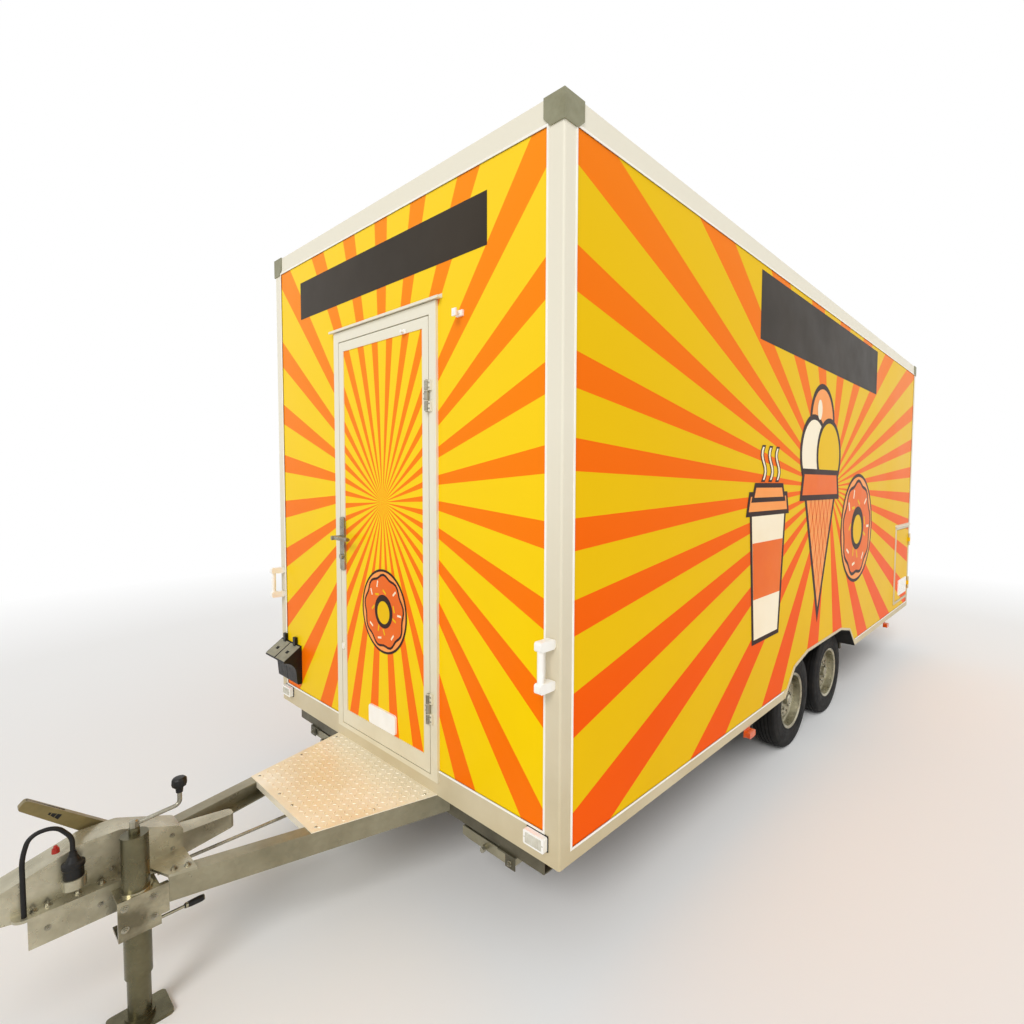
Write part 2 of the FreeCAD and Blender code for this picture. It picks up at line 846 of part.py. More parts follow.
def make_hatch():
    """Serving hatch on the right: frame and a flap hinged along its top edge."""
    gap = d.door_gap
    x, z = wider((hatch_aft, hatch_fore), gap), wider((hatch_bottom, hatch_top), gap)
    lining = framed(x, (-inner_side, -face_side), z, "Y", d.jamb)
    flange = framed(x, (-face_side, -side - d.leaf_proud), z, "Y", d.locker_face)
    leaf_face = -side - d.leaf_proud
    fixed, moving = [], []
    step = (d.hatch_width - d.hinge_length - d.hatch_hinge_in * 2) / 3
    for i in range(4):
        low = hatch_aft + d.hatch_hinge_in + step * i
        line_y = -side - d.hinge_standoff
        halves = hinge("X", low, ("Y", line_y), ("Z", hatch_top + gap / 2, -1), leaf_face)
        fixed += halves[0]
        moving.append(halves[1])
    keep("hatch_frame", fuse(lining, flange, *fixed))
    leaf_y = (leaf_face, leaf_face + d.door_thickness)
    leaf = block((hatch_aft, hatch_fore), leaf_y, (hatch_bottom, hatch_top))
    keep("hatch_flap", fuse(leaf, *moving))


# Chassis

def rail_section(outer, inward, high, height, width):
    """A channel with its web outside, as corners across and up."""
    plate = d.rail_plate
    low = high - height
    tip, web = outer + inward * width, outer + inward * plate
    return [
        (outer, high), (outer, low), (tip, low), (tip, low + plate),
        (web, low + plate), (web, high - plate), (tip, high - plate), (tip, high),
    ]


cross_places = {"front": front - d.cross_setback, "tail": rear + d.tail_bar_setback}


def arm_outline(width, inset=0):
    """A drawbar arm from above: it leaves the chassis rail and closes in on the coupling."""
    meet = rail_offset - d.rail_width
    reach = arm_reach

    def edge(x_reach, shift):
        return arm_root - d.arm_taper * x_reach - shift

    def reach_at(y, shift):
        return (arm_root - shift - y) / d.arm_taper

    return [
        (front + reach, edge(reach, inset)),
        (front + reach_at(meet, inset), meet),
        (front + reach_at(meet, width), meet),
        (front + reach, edge(reach, width)),
    ]


def make_chassis():
    """Channel rails, cross bars with outriggers, and the drawbar's two arms."""
    arm_z = (base - d.arm_height, base)
    arm_block = prism("XY", arm_outline(d.arm_width), *arm_z)
    hollow = prism("XY", arm_outline(d.arm_width + 20, d.arm_plate), *wider(arm_z, -d.arm_plate))
    hollow_ends = block((rear, nose), (0, rail_offset - d.rail_width), wider(arm_z, 1))
    keep("drawbar_arms", pair(cut(arm_block, common(hollow, hollow_ends))))

    fore = cross_places["front"] - d.cross_width
    aft = cross_places["tail"] + d.cross_width
    rail = prism("YZ", rail_section(rail_offset, -1, base, d.rail_height, d.rail_width), aft, fore)
    keep("chassis_rails", pair(rail))

    bars = []
    for place_x, inward in ((cross_places["front"], -1), (cross_places["tail"], 1)):
        section = rail_section(place_x, inward, base, d.cross_height, d.cross_width)
        bars.append(prism("XZ", section, -cross_end, cross_end))
    inside = rail_offset - d.rail_width
    low = base - d.outrigger_height
    for bar_x in (arch_fore + d.bar_clear, arch_aft - d.bar_clear, arch_fore + d.bar_clear + d.bar_step):
        x = (bar_x - d.outrigger_width / 2, bar_x + d.outrigger_width / 2)
        for y in ((-inside, inside), (rail_offset, cross_end), (-rail_offset, -cross_end)):
            bars.append(block(x, y, (low, base)))
    passage = rod("X", arch_aft, front, (0, d.rod_height), d.brake_rod + d.rod_play)
    for i in (0, 2, 8):
        bars[i] = cut(bars[i], passage, arm_block, mirror(arm_block))
    keep("cross_members", group(*bars))

    reach, plate = deck_reach, d.deck_plate
    near, far = arm_root, arm_root - d.arm_taper * reach
    plan = [(front, -near), (front + reach, -far), (front + reach, far), (front, near)]
    sheet_top = prism("XY", plan, base, base + plate)
    lip = far - d.arm_width - 2
    fold = block((front + reach - plate, front + reach), (-lip, lip), (base - d.deck_fold, base + plate))
    keep("step_deck", fuse(sheet_top, fold))


def make_axles():
    """Two torsion axles: a square tube under the rails, trailing arms and spindles."""
    tubes = []
    for x in axle_places.values():
        centre_x, centre_z = x + d.axle_lead, base - d.rail_height - d.axle_tube / 2
        half = d.axle_tube / 2
        across = (-arm_inner, arm_inner)
        tube = block(wider((centre_x, centre_x), half), across, wider((centre_z, centre_z), half))
        wheel_z = d.tyre_radius
        outline = [
            (x - 32, wheel_z - 32, 28), (x - 32, wheel_z + 32, 28),
            (centre_x + 34, centre_z + 38, 28), (centre_x + 34, centre_z - 38, 28),
        ]
        arm = prism("XZ", outline, arm_inner, arm_inner + d.swing_arm)
        spindle = rod("Y", arm_inner, wheel_y + d.spindle_reach, (x, wheel_z), d.spindle_radius)
        swinging = fuse(arm, spindle)
        tubes.append(fuse(tube, swinging, mirror(swinging)))
    keep("axles", group(*tubes))


def make_wheels():
    """Tyre and steel rim with hub and drum, on each end of both axles."""
    half, seat = d.tyre_width / 2, d.rim_radius
    tread, wide = d.tread_width / 2, d.tyre_radius
    bead = d.rim_width / 2
    tyre_section = [
        (-bead + 5, seat), (-half, (seat + wide) / 2 + 6, d.tyre_bulge), (-tread, wide, 14),
        (tread, wide, 14), (half, (seat + wide) / 2 + 6, d.tyre_bulge), (bead - 5, seat),
    ]
    bore = d.spindle_radius + d.pin_play
    hub, drum = d.hub_radius, d.drum_radius
    back = -(wheel_y - arm_inner - d.swing_arm - d.clearance - 1.5)
    well, skin = seat - 13, d.rim_wall
    flange = seat + 11
    cap = d.hub_cap_reach
    rim_section = [
        (back, bore), (back, drum), (back + d.drum_width, drum), (back + d.drum_width, hub),
        (16, hub), (16, hub + 22), (24, hub + 52, 16), (4, well - skin),
        (-42, well - skin), (-50, seat - skin), (-bead, seat - skin), (-bead - 5, flange - 4),
        (-bead - 5, flange),
        (-bead, flange), (-bead, seat), (-46, seat), (-36, well), (6, well), (16, seat), (bead, seat),
        (bead, flange), (bead + 5, flange), (bead + 5, flange - 4), (bead, seat - skin), (20, seat - skin),
        (12, well - skin), (32, hub + 52, 16), (24, hub + 22), (27, hub - 8), (27, d.hub_cap + 3),
        (cap - 6, d.hub_cap), (cap, d.hub_cap - 8), (cap, 0), (d.spindle_reach + 4, 0),
        (d.spindle_reach + 4, bore),
    ]
    for name, x in axle_places.items():
        centre = (x, wheel_y, d.tyre_radius)
        tyre = turned("Y", tyre_section, centre)
        holes = []
        for i in range(10):
            angle = math.radians(36 * i)
            along, upward = d.rim_hole_circle * math.cos(angle), d.rim_hole_circle * math.sin(angle)
            spot = (x + along, d.tyre_radius + upward)
            holes.append(rod("Y", wheel_y + 4, wheel_y + 50, spot, d.rim_hole))
        rim = cut(turned("Y", rim_section, centre), *holes)
        keep("tyre_%s_left" % name, tyre)
        keep("rim_%s_left" % name, rim)
        keep("tyre_%s_right" % name, mirror(tyre))
        keep("rim_%s_right" % name, mirror(rim))


# Drawbar head

def make_overrun():
    """Pressed overrun housing on its yoke, with the lever for the brake rod."""
    back, fore = housing_back, housing_fore
    peak = housing_fore - d.peak_setback
    foot, half, plate = d.housing_foot, d.housing_half, d.housing_plate
    outline = [
        (back, foot), (back, d.housing_shoulder, 26), (peak, d.housing_peak, 40),
        (peak + d.peak_length, d.housing_peak, 40), (fore, d.draw_height + 46, 30),
        (fore, d.draw_height - 38), (peak + d.peak_length, foot),
    ]
    outside = prism("XZ", outline, -half, half)
    inner = [
        (back - 1, foot - 1), (back - 1, d.housing_shoulder - plate),
        (peak, d.housing_peak - plate, 36),
        (peak + d.peak_length, d.housing_peak - plate, 36),
        (fore - 40, d.draw_height + 46), (fore - 40, foot - 1),
    ]
    hollow = prism("XZ", inner, -half + plate, half - plate)
    draw_bore = rod("X", fore - 60, fore + 1, (0, d.draw_height), d.draw_radius)
    shell = cut(outside, hollow, draw_bore)

    arm_at = arm_root - d.arm_taper * (housing_back - front)
    end_at = d.arm_tip
    yoke_y, yoke_x = d.yoke_half, arm_end + 30
    tip = housing_fore - d.yoke_setback
    plan = [
        (back, -arm_at), (arm_end, -end_at), (yoke_x, -yoke_y), (tip, -yoke_y, 30),
        (tip, yoke_y, 30), (yoke_x, yoke_y), (arm_end, end_at), (back, arm_at),
    ]
    wing = prism("XY", plan, base, base + d.yoke_plate)
    slot = block((back - 1, fore), (-half + plate, half - plate), (base - 1, base + d.yoke_plate + 1))
    skirt = block((yoke_x, tip - 30), (yoke_y - d.yoke_plate, yoke_y), (base - d.yoke_deep, base))
    pivot_x = housing_fore - d.pivot_setback
    pin = rod("Y", -half, -half - d.lever_pin_reach, (pivot_x, d.lever_pivot_height), d.lever_pin)
    holder_x, holder_y = housing_fore - d.plug_setback, half + d.plug_radius + d.plug_cup
    cup = rod("Z", d.plug_low, d.plug_low + 30, (holder_x, holder_y), d.plug_radius + d.plug_cup + 1)
    seat = block((holder_x - 16, holder_x + 16), (half - 2, holder_y), (d.plug_low, d.plug_low + 30))
    holder = fuse(cup, seat)
    socket = rod("Z", d.plug_low + 4, d.plug_low + 31, (holder_x, holder_y), d.plug_radius)
    tip, root, wall, end = d.tongue_half, half - plate, d.yoke_plate / 2, back - d.tongue_reach
    upright = [
        (back + 20, foot + d.tongue_low / 2), (end, foot + d.tongue_low), (end, foot + d.tongue_top),
        (back + 20, foot + d.tongue_back),
    ]
    level = [
        (back + 20, -root), (back, -root), (end, -tip, 18), (end, tip, 18), (back, root),
        (back + 20, root),
    ]
    tongue = common(prism("XZ", upright, -root, root), prism("XY", level, foot, d.housing_shoulder))
    level = [
        (back + 21, wall - root), (end + 6, wall - tip), (end + 6, tip - wall), (back + 21, root - wall),
    ]
    tongue_hollow = prism("XY", level, foot, foot + d.tongue_top - d.yoke_plate / 2)
    keep("overrun_housing", fuse(
        shell, cut(wing, slot), skirt, mirror(skirt), pin, cut(holder, socket), cut(tongue, tongue_hollow),
    ))

    lever_x, link = back + d.link_back, d.link_half
    cross_pin = rod("Y", -half + plate, half - plate, (lever_x, d.draw_height), d.link_pin)
    lever_z = (d.rod_height - link, d.draw_height + link)
    lever = block(wider((lever_x, lever_x), link), (-d.link_plate, d.link_plate), lever_z)
    rod_end = axle_places["front"] + d.axle_lead + d.axle_tube / 2
    long_rod = rod("X", rod_end - d.yard_inset, lever_x, (0, d.rod_height), d.brake_rod)
    yard_x = wider((rod_end - d.axle_tube, rod_end), -d.yard_inset)
    yard_z = (base - d.rail_height, d.rod_height + d.brake_rod + 4)
    yard = block(yard_x, (-d.yard_half, d.yard_half), yard_z)
    keep("brake_linkage", fuse(cross_pin, lever, long_rod, yard))


def make_coupling():
    """Draw tube with its bellows and the ball coupling head."""
    head_back = nose - d.coupling_length
    waves = 5
    pitch = (head_back - housing_fore) / waves
    section = [(housing_fore, d.draw_radius), (housing_fore, d.bellows_radius - 8)]
    for i in range(waves):
        section.append((housing_fore + pitch * i + pitch / 2, d.bellows_radius))
        section.append((housing_fore + pitch * (i + 1), d.bellows_radius - 8))
    section.append((head_back, d.draw_radius))
    keep("bellows", turned("X", section, (0, 0, d.draw_height)))

    tube = rod("X", housing_fore - d.draw_inside, head_back + 20, (0, d.draw_height), d.draw_radius)
    half = d.coupling_half
    low, high = d.draw_height - 44, d.draw_height + 46
    profile = [
        (head_back, low + 14), (head_back, high - 16), (head_back + 60, high, 30), (nose - 30, high, 30),
        (nose, high - 40, 20), (nose, low, 8), (nose - d.coupling_jaw, low),
        (nose - d.coupling_jaw - 20, low + 14),
    ]
    plan = [
        (head_back, -half + 8), (head_back + 60, -half, 40), (nose, -half, half * 0.9),
        (nose, half, half * 0.9), (head_back + 60, half, 40), (head_back, half - 8),
    ]
    head = common(prism("XZ", profile, -half, half), prism("XY", plan, low, high))
    socket_x = nose - d.socket_setback
    bore = rod("Z", low - 1, low + d.socket_deep, (socket_x, 0), d.socket_radius)
    crown = doc.addObject("Part::Sphere", "crown")
    tie(crown, "Radius", d.socket_radius)
    place(crown, socket_x, 0, low + d.socket_deep)
    handle = [
        (nose - 96, high - 4), (nose - 96, high + 16, 10), (head_back - 52, high + 44, 8),
        (head_back - 56, high + 28, 8), (head_back + 30, high + 10, 12), (head_back + 44, high - 12),
    ]
    keep("coupling_head", fuse(tube, cut(head, bore, crown), prism("XZ", handle, -13, 13)))


def make_jack():
    """Drawbar jack: clamp, outer tube, telescoping leg with foot plate, and crank."""
    x, y = housing_fore - d.jack_setback, d.jack_offset
    centre = (x, y)
    tube = rod("Z", d.jack_bottom, d.jack_top, centre, d.jack_radius)
    inner = d.jack_radius - d.jack_wall
    hollow = rod("Z", d.jack_bottom - 1, d.jack_top - 8, centre, inner)
    boss_top = d.jack_top + d.boss_height
    boss = rod("Z", d.jack_top - 1, boss_top, centre, d.boss_radius)
    spindle_hole = rod("Z", d.jack_top - 10, boss_top + 1, centre, d.crank_bar + d.pin_play)
    keep("jack_tube", cut(fuse(tube, boss), hollow, spindle_hole))

    half = d.clamp_half
    high, low = d.clamp_top, d.clamp_low
    plate = d.yoke_plate
    yoke_y = d.yoke_half
    outer = y + d.jack_radius + 8
    outside = block((x - half, x + half), (yoke_y, outer), (low, high))
    inside = block((x - half - 1, x + half + 1), (yoke_y - 1, outer - plate), (low + plate, high - plate))
    strap = block((arm_end, x - half), (d.arm_tip - 14, outer), (low + 30, high))
    collar = rod("Z", high, high + 7, centre, d.jack_radius + 6)
    handle_y = y + 6
    lever_end = x - half - d.clamp_lever
    handle = rod("X", lever_end + 10, x, (handle_y, low - 3), 5)
    grip = rod("X", lever_end, lever_end + 52, (handle_y, low - 3), 9)
    bore = rod("Z", low - 10, high + 8, centre, d.jack_radius)
    keep("jack_clamp", cut(fuse(cut(outside, inside), strap, collar, handle, grip), bore))

    leg_radius = inner - d.pin_play
    leg_top = d.jack_bottom + d.leg_overlap
    leg = rod("Z", 0, leg_top, centre, leg_radius)
    leg_hollow = rod("Z", d.foot_plate + 20, leg_top + 1, centre, leg_radius - 4)
    long, wide = d.foot_length / 2, d.foot_width / 2
    foot = prism("XY", rounded((x - long, x + long), (y - wide, y + wide), 14), 0, d.foot_plate)
    collar = rod("Z", d.foot_plate, d.foot_plate + 14, centre, leg_radius + 8)
    keep("jack_leg", cut(fuse(leg, foot, collar), leg_hollow))

    bar = d.crank_bar
    arm_z = boss_top + bar + 2
    elbow = x - d.crank_throw
    shaft = rod("Z", d.jack_top - 8, boss_top + 1, centre, bar)
    hub = rod("Z", boss_top, arm_z + bar + 3, centre, bar + 5)
    arm = rod("X", elbow - bar, x, (y, arm_z), bar)
    post = rod("Z", arm_z, arm_z + d.crank_rise, (elbow, y), bar - 1.5)
    corners = []
    for i in range(6):
        angle = math.radians(60 * i)
        corners.append((elbow + d.knob_radius * math.cos(angle), y + d.knob_radius * math.sin(angle), 5))
    knob_low = arm_z + d.crank_rise - 6
    knob = prism("XY", corners, knob_low, knob_low + d.knob_height)
    keep("jack_crank", fuse(shaft, hub, arm, post, knob))


def make_handbrake():
    """Pressed handbrake lever on the right of the housing."""
    x, z = housing_fore - d.pivot_setback, d.lever_pivot_height
    run, rise = d.handbrake_run, d.handbrake_rise
    tip_x, tip_z = x + run, z + rise
    near = -d.housing_half - d.lever_side_gap
    far = near - d.lever_thick
    wide, slim = d.lever_root, d.lever_tip
    outline = [
        (x + wide * 0.66, z - wide * 0.75, wide * 0.6),
        (tip_x + slim * 0.67, tip_z - slim * 0.74, slim * 0.6),
        (tip_x - slim * 0.67, tip_z + slim * 0.74, slim * 0.6),
        (x - wide * 0.66, z + wide * 0.75, wide * 0.6),
        (x - wide * 1.2, z - wide * 0.2, wide * 0.5),
    ]
    blade = prism("XZ", outline, far, near)
    bore = rod("Y", far - 1, near + 1, (x, z), d.lever_pin + d.pin_play)
    keep("handbrake_lever", cut(blade, bore))


# Fittings

def make_steadies():
    """Four corner steadies, folded up under the floor."""
    pivot_y, pivot_z = side - d.steady_inset, d.steady_height
    half, play = d.steady_width / 2, d.clearance
    cheek = half + play + d.steady_channel
    seat = base - d.cross_height
    pin = d.steady_pin
    brackets = []
    for name, place_x, inward in (("front", cross_places["front"], -1), ("tail", cross_places["tail"], 1)):
        x = place_x + inward * d.cross_width / 2
        plate = block((x - cheek, x + cheek), (pivot_y - 70, pivot_y + 26), (seat - 6, seat))
        ears = block((x - cheek, x + cheek), (pivot_y - 26, pivot_y + 26), (pivot_z - 20, seat))
        gap = block(wider((x, x), half + play), wider((pivot_y, pivot_y), 27), (pivot_z - 21, seat - 6))
        axle = rod("X", x - cheek, x + cheek, (pivot_y, pivot_z), pin)
        brackets += [fuse(plate, cut(ears, gap), axle)]
        brackets.append(mirror(brackets[-1]))

        end_y = pivot_y - d.steady_length
        deep = d.steady_deep / 2
        outline = [
            (pivot_y + deep * 0.7, pivot_z - deep, deep * 0.66),
            (pivot_y + deep * 0.7, pivot_z + deep, deep * 0.66),
            (end_y, pivot_z + deep, 6), (end_y, pivot_z - deep + 4, 6), (end_y + 40, pivot_z - deep, 20),
        ]
        beam = prism("YZ", outline, x - half, x + half)
        hollow = block(
            (x - half + d.steady_channel, x + half - d.steady_channel),
            (end_y + d.steady_channel, pivot_y - deep - 4),
            (pivot_z - deep + d.steady_channel, pivot_z + deep + 1),
        )
        bore = rod("X", x - half - 1, x + half + 1, (pivot_y, pivot_z), pin + d.pin_play)
        hex_y = (pivot_y + end_y) / 2
        outer = x - inward * half
        stub = rod("X", outer, outer - inward * 16, (hex_y, pivot_z - 4), 11)
        leg = fuse(cut(beam, hollow, bore), stub)
        keep("steady_%s_left" % name, leg)
        keep("steady_%s_right" % name, mirror(leg))
    keep("steady_brackets", group(*brackets))


def make_lamps():
    """White front markers, amber side markers, tail lamps and the blank plate holder."""
    y, z = side - d.lamp_in, base + d.lamp_up
    half = d.lamp_width / 2
    outline = rounded(wider((y, y), half), wider((z, z), d.lamp_height / 2), 6)
    lens = prism("YZ", outline, front, front + d.lamp_depth)
    keep("front_lamps", pair(lens))

    lamps = []
    for x in (front - d.side_lamp_fore, rear + d.side_lamp_aft):
        length = d.side_lamp_length / 2
        low = base - 14 - d.side_lamp_height
        outline = rounded((x - length, x + length), (low, low + d.side_lamp_height), 8)
        body = prism("XZ", outline, side - 6, side + d.side_reach)
        tab = block((x - length, x + length), (side - 10, side - 6), (low, base))
        lamps += [fuse(body, tab)]
        lamps.append(mirror(lamps[-1]))
    keep("side_lamps", group(*lamps))

    y = side - d.tail_lamp_in
    outline = rounded((y - d.tail_lamp_width / 2, y + d.tail_lamp_width / 2),
                      (base + d.tail_lamp_up, base + d.tail_lamp_up + d.tail_lamp_height), 10)
    lamp = prism("YZ", outline, rear - d.tail_reach, face_rear)
    keep("rear_lamps", pair(lamp))
    half = d.plate_width / 2
    low = base + d.plate_up
    board = prism("YZ", rounded((-half, half), (low, low + d.plate_height), 8), face_rear - 14, face_rear)
    keep("plate_holder", board)


def make_grips():
    """Grab handles on the front corner posts and wheel chocks in their holder."""
    y = side - d.post_front / 2
    low, high = base + d.grip_low, base + d.grip_low + d.grip_height
    x = front + d.grip_stand
    bar = rod("Z", low + 8, high - 8, (x, y), d.grip_radius)
    feet = []
    for z in (low, high - 32):
        outline = rounded((front, x + d.grip_radius + 3), (z, z + 32), 8)
        feet.append(prism("XZ", outline, y - 15, y + 15))
    keep("grab_handles", pair(fuse(bar, *feet)))

    low, high = base + d.chock_low, base + d.chock_low + d.chock_height
    tip_x, tip_z = front + d.chock_reach, high - d.chock_drop
    outline = [
        (front, low), (front, high), (tip_x - 6, tip_z + 6), (tip_x, tip_z - 6, 3),
        (front + d.chock_reach * 0.36, tip_z - 14, 70), (front + 22, low, 6),
    ]
    chocks = []
    for i in range(2):
        near = -side + d.chock_in + (d.chock_width + d.chock_gap) * i
        far = near + d.chock_width
        middle = (near + far) / 2
        hook = block(
            (front, front + d.hook_reach), wider((middle, middle), d.hook_width / 2),
            (high - 10, high + d.hook_height),
        )
        chocks.append(fuse(prism("XZ", outline, near, far), hook))
    pad = block((face_front, front + 1), (near, far), (low + 20, high - 20))
    chocks[1] = fuse(chocks[1], pad)
    keep("wheel_chocks", group(*chocks))


def make_plug():
    """Lighting plug parked on the housing, with its lead looped down into the yoke."""
    x, y = housing_fore - d.plug_setback, d.housing_half + d.plug_radius + d.plug_cup
    low = d.plug_low + 4
    long, radius, lead = d.plug_length, d.plug_radius, d.cable_radius
    section = [
        (low, 0), (low, radius), (low + long * 0.5, radius), (low + long * 0.56, radius + 3),
        (low + long * 0.66, radius + 3), (low + long * 0.7, radius - 5), (low + long * 0.86, lead + 5),
        (low + long, lead + 2), (low + long, 0),
    ]
    keep("plug", turned("Z", section, (x, y, 0)))

    leave = low + long
    landing = housing_fore - d.lead_setback
    route = [
        (x, y, leave), (x, y, leave + 42), (x + 34, y, leave + 92), (x + 88, y, leave + 90),
        (landing, y, leave + 30), (landing, y, leave - 50), (landing, y, base + d.yoke_plate),
    ]
    spots = [FreeCAD.Vector(*[sized(c).value for c in spot]) for spot in route]
    edges, last = [], spots[0]
    for before, spot, after in zip(spots, spots[1:], spots[2:]):
        turn = (spot - before).getAngle(after - spot)
        if turn < 0.01:
            continue
        bend = 0.45 * min((spot - before).Length, (after - spot).Length) / math.tan(turn / 2)
        arrive, depart, centre = rounding(spot, before, after, bend)
        middle = centre + (spot - centre).normalize() * bend
        edges += [Part.LineSegment(last, arrive).toShape(), Part.Arc(arrive, middle, depart).toShape()]
        last = depart
    edges.append(Part.LineSegment(last, spots[-1]).toShape())
    path = Part.Wire(edges)
    ring = Part.Wire([Part.Circle(spots[0], spots[1] - spots[0], lead.value).toShape()])
    cable = doc.addObject("Part::Feature", "cable")
    cable.Shape = path.makePipeShell([ring], True, False)
    keep("plug_cable", cable)


make_panels()
make_edges()
make_arches()
make_door()
make_drip_rails()
make_locker()
make_hatch()
make_chassis()
make_axles()
make_wheels()
make_overrun()
make_coupling()
make_jack()
make_handbrake()
make_steadies()
make_lamps()
make_grips()
make_plug()

doc.recompute()
for thing in doc.Objects:
    if "Invalid" in thing.State or "Error" in thing.State:
        raise RuntimeError("%s failed: %s" % (thing.Label, thing.State))
os.makedirs("parts", exist_ok=True)
for label, thing in subparts.items():
    if thing.Shape.isNull() or not thing.Shape.isValid() or not thing.Shape.Solids:
        raise RuntimeError("%s has no valid solid" % label)
    thing.Shape.exportStep("parts/%s.step" % label)
    counts = (label, thing.Shape.Volume / 1e6, len(thing.Shape.Solids), len(thing.Shape.Faces))
    print("%-20s %9.3f litres %2d solids %4d faces" % counts)
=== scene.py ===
import bpy, bmesh, json, math
from mathutils import Matrix, Vector

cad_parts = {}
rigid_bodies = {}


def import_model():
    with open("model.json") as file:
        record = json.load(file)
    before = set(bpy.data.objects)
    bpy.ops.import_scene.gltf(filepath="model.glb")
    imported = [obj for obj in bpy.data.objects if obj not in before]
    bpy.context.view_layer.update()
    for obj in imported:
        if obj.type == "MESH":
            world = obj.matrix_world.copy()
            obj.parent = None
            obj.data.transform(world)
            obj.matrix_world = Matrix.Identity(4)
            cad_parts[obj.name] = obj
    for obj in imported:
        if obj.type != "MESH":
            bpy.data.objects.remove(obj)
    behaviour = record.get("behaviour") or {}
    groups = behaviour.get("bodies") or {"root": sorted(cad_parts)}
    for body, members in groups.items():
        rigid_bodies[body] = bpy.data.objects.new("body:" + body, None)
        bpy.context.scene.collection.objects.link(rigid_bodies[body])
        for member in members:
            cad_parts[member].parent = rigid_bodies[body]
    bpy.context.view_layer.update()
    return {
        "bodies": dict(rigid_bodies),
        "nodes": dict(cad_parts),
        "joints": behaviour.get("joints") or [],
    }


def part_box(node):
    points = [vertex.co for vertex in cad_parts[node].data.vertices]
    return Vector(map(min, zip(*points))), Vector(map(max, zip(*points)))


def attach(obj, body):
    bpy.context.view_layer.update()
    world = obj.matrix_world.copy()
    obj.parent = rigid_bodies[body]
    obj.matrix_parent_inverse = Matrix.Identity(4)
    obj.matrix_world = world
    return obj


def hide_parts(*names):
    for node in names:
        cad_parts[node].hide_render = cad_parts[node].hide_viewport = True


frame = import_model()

scene = bpy.context.scene
scene.view_settings.view_transform = "Standard"
joints = {joint["name"]: joint for joint in frame["joints"]}


def corners(node):
    low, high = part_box(node)
    return Vector(low), Vector(high)


bodyLow, bodyHigh = corners("edge_profiles")
frontX, rearX, sideY = bodyHigh.x, bodyLow.x, bodyHigh.y
baseZ, topZ = bodyLow.z, bodyHigh.z
print("frame loaded", [round(v, 3) for v in (rearX, frontX, sideY, baseZ, topZ)])


# Camera, from the fitted view of the photograph
view = {"place": (frontX + 1.259, 2.307, 1.710), "yaw": 219.452, "pitch": -2.93, "roll": 0.643,
        "focalPixels": 556.37, "axisPixel": (604, 508), "imagePixels": 1024}


def placeCamera(settings):
    yaw, pitch, roll = (math.radians(settings[key]) for key in ("yaw", "pitch", "roll"))
    ahead = Vector((math.cos(yaw) * math.cos(pitch), math.sin(yaw) * math.cos(pitch), math.sin(pitch)))
    right = ahead.cross(Vector((0, 0, 1))).normalized()
    upward = right.cross(ahead)
    rolledRight = right * math.cos(roll) + upward * math.sin(roll)
    rolledUp = upward * math.cos(roll) - right * math.sin(roll)
    turn = Matrix((rolledRight, rolledUp, -ahead)).transposed().to_4x4()
    lens = bpy.data.cameras.new("camera")
    lens.sensor_width = 36
    size = settings["imagePixels"]
    lens.lens = settings["focalPixels"] * lens.sensor_width / size
    lens.shift_x = (size / 2 - settings["axisPixel"][0]) / size
    lens.shift_y = (settings["axisPixel"][1] - size / 2) / size
    lens.clip_end = 200
    camera = bpy.data.objects.new("camera", lens)
    camera.matrix_world = Matrix.Translation(settings["place"]) @ turn
    scene.collection.objects.link(camera)
    scene.camera = camera


placeCamera(view)
print("camera placed")


# Finishes
def screen(red, green, blue):
    # a colour as the eye reads it on screen, turned linear for the shader
    out = []
    for value in (red, green, blue):
        value = value / 255
        out.append(value / 12.92 if value <= 0.04045 else ((value + 0.055) / 1.055) ** 2.4)
    return (*out, 1)


def addNode(tree, kind, **values):
    node = tree.nodes.new(kind)
    for name, value in values.items():
        if name in node.inputs:
            node.inputs[name].default_value = value
        else:
            setattr(node, name, value)
    return node


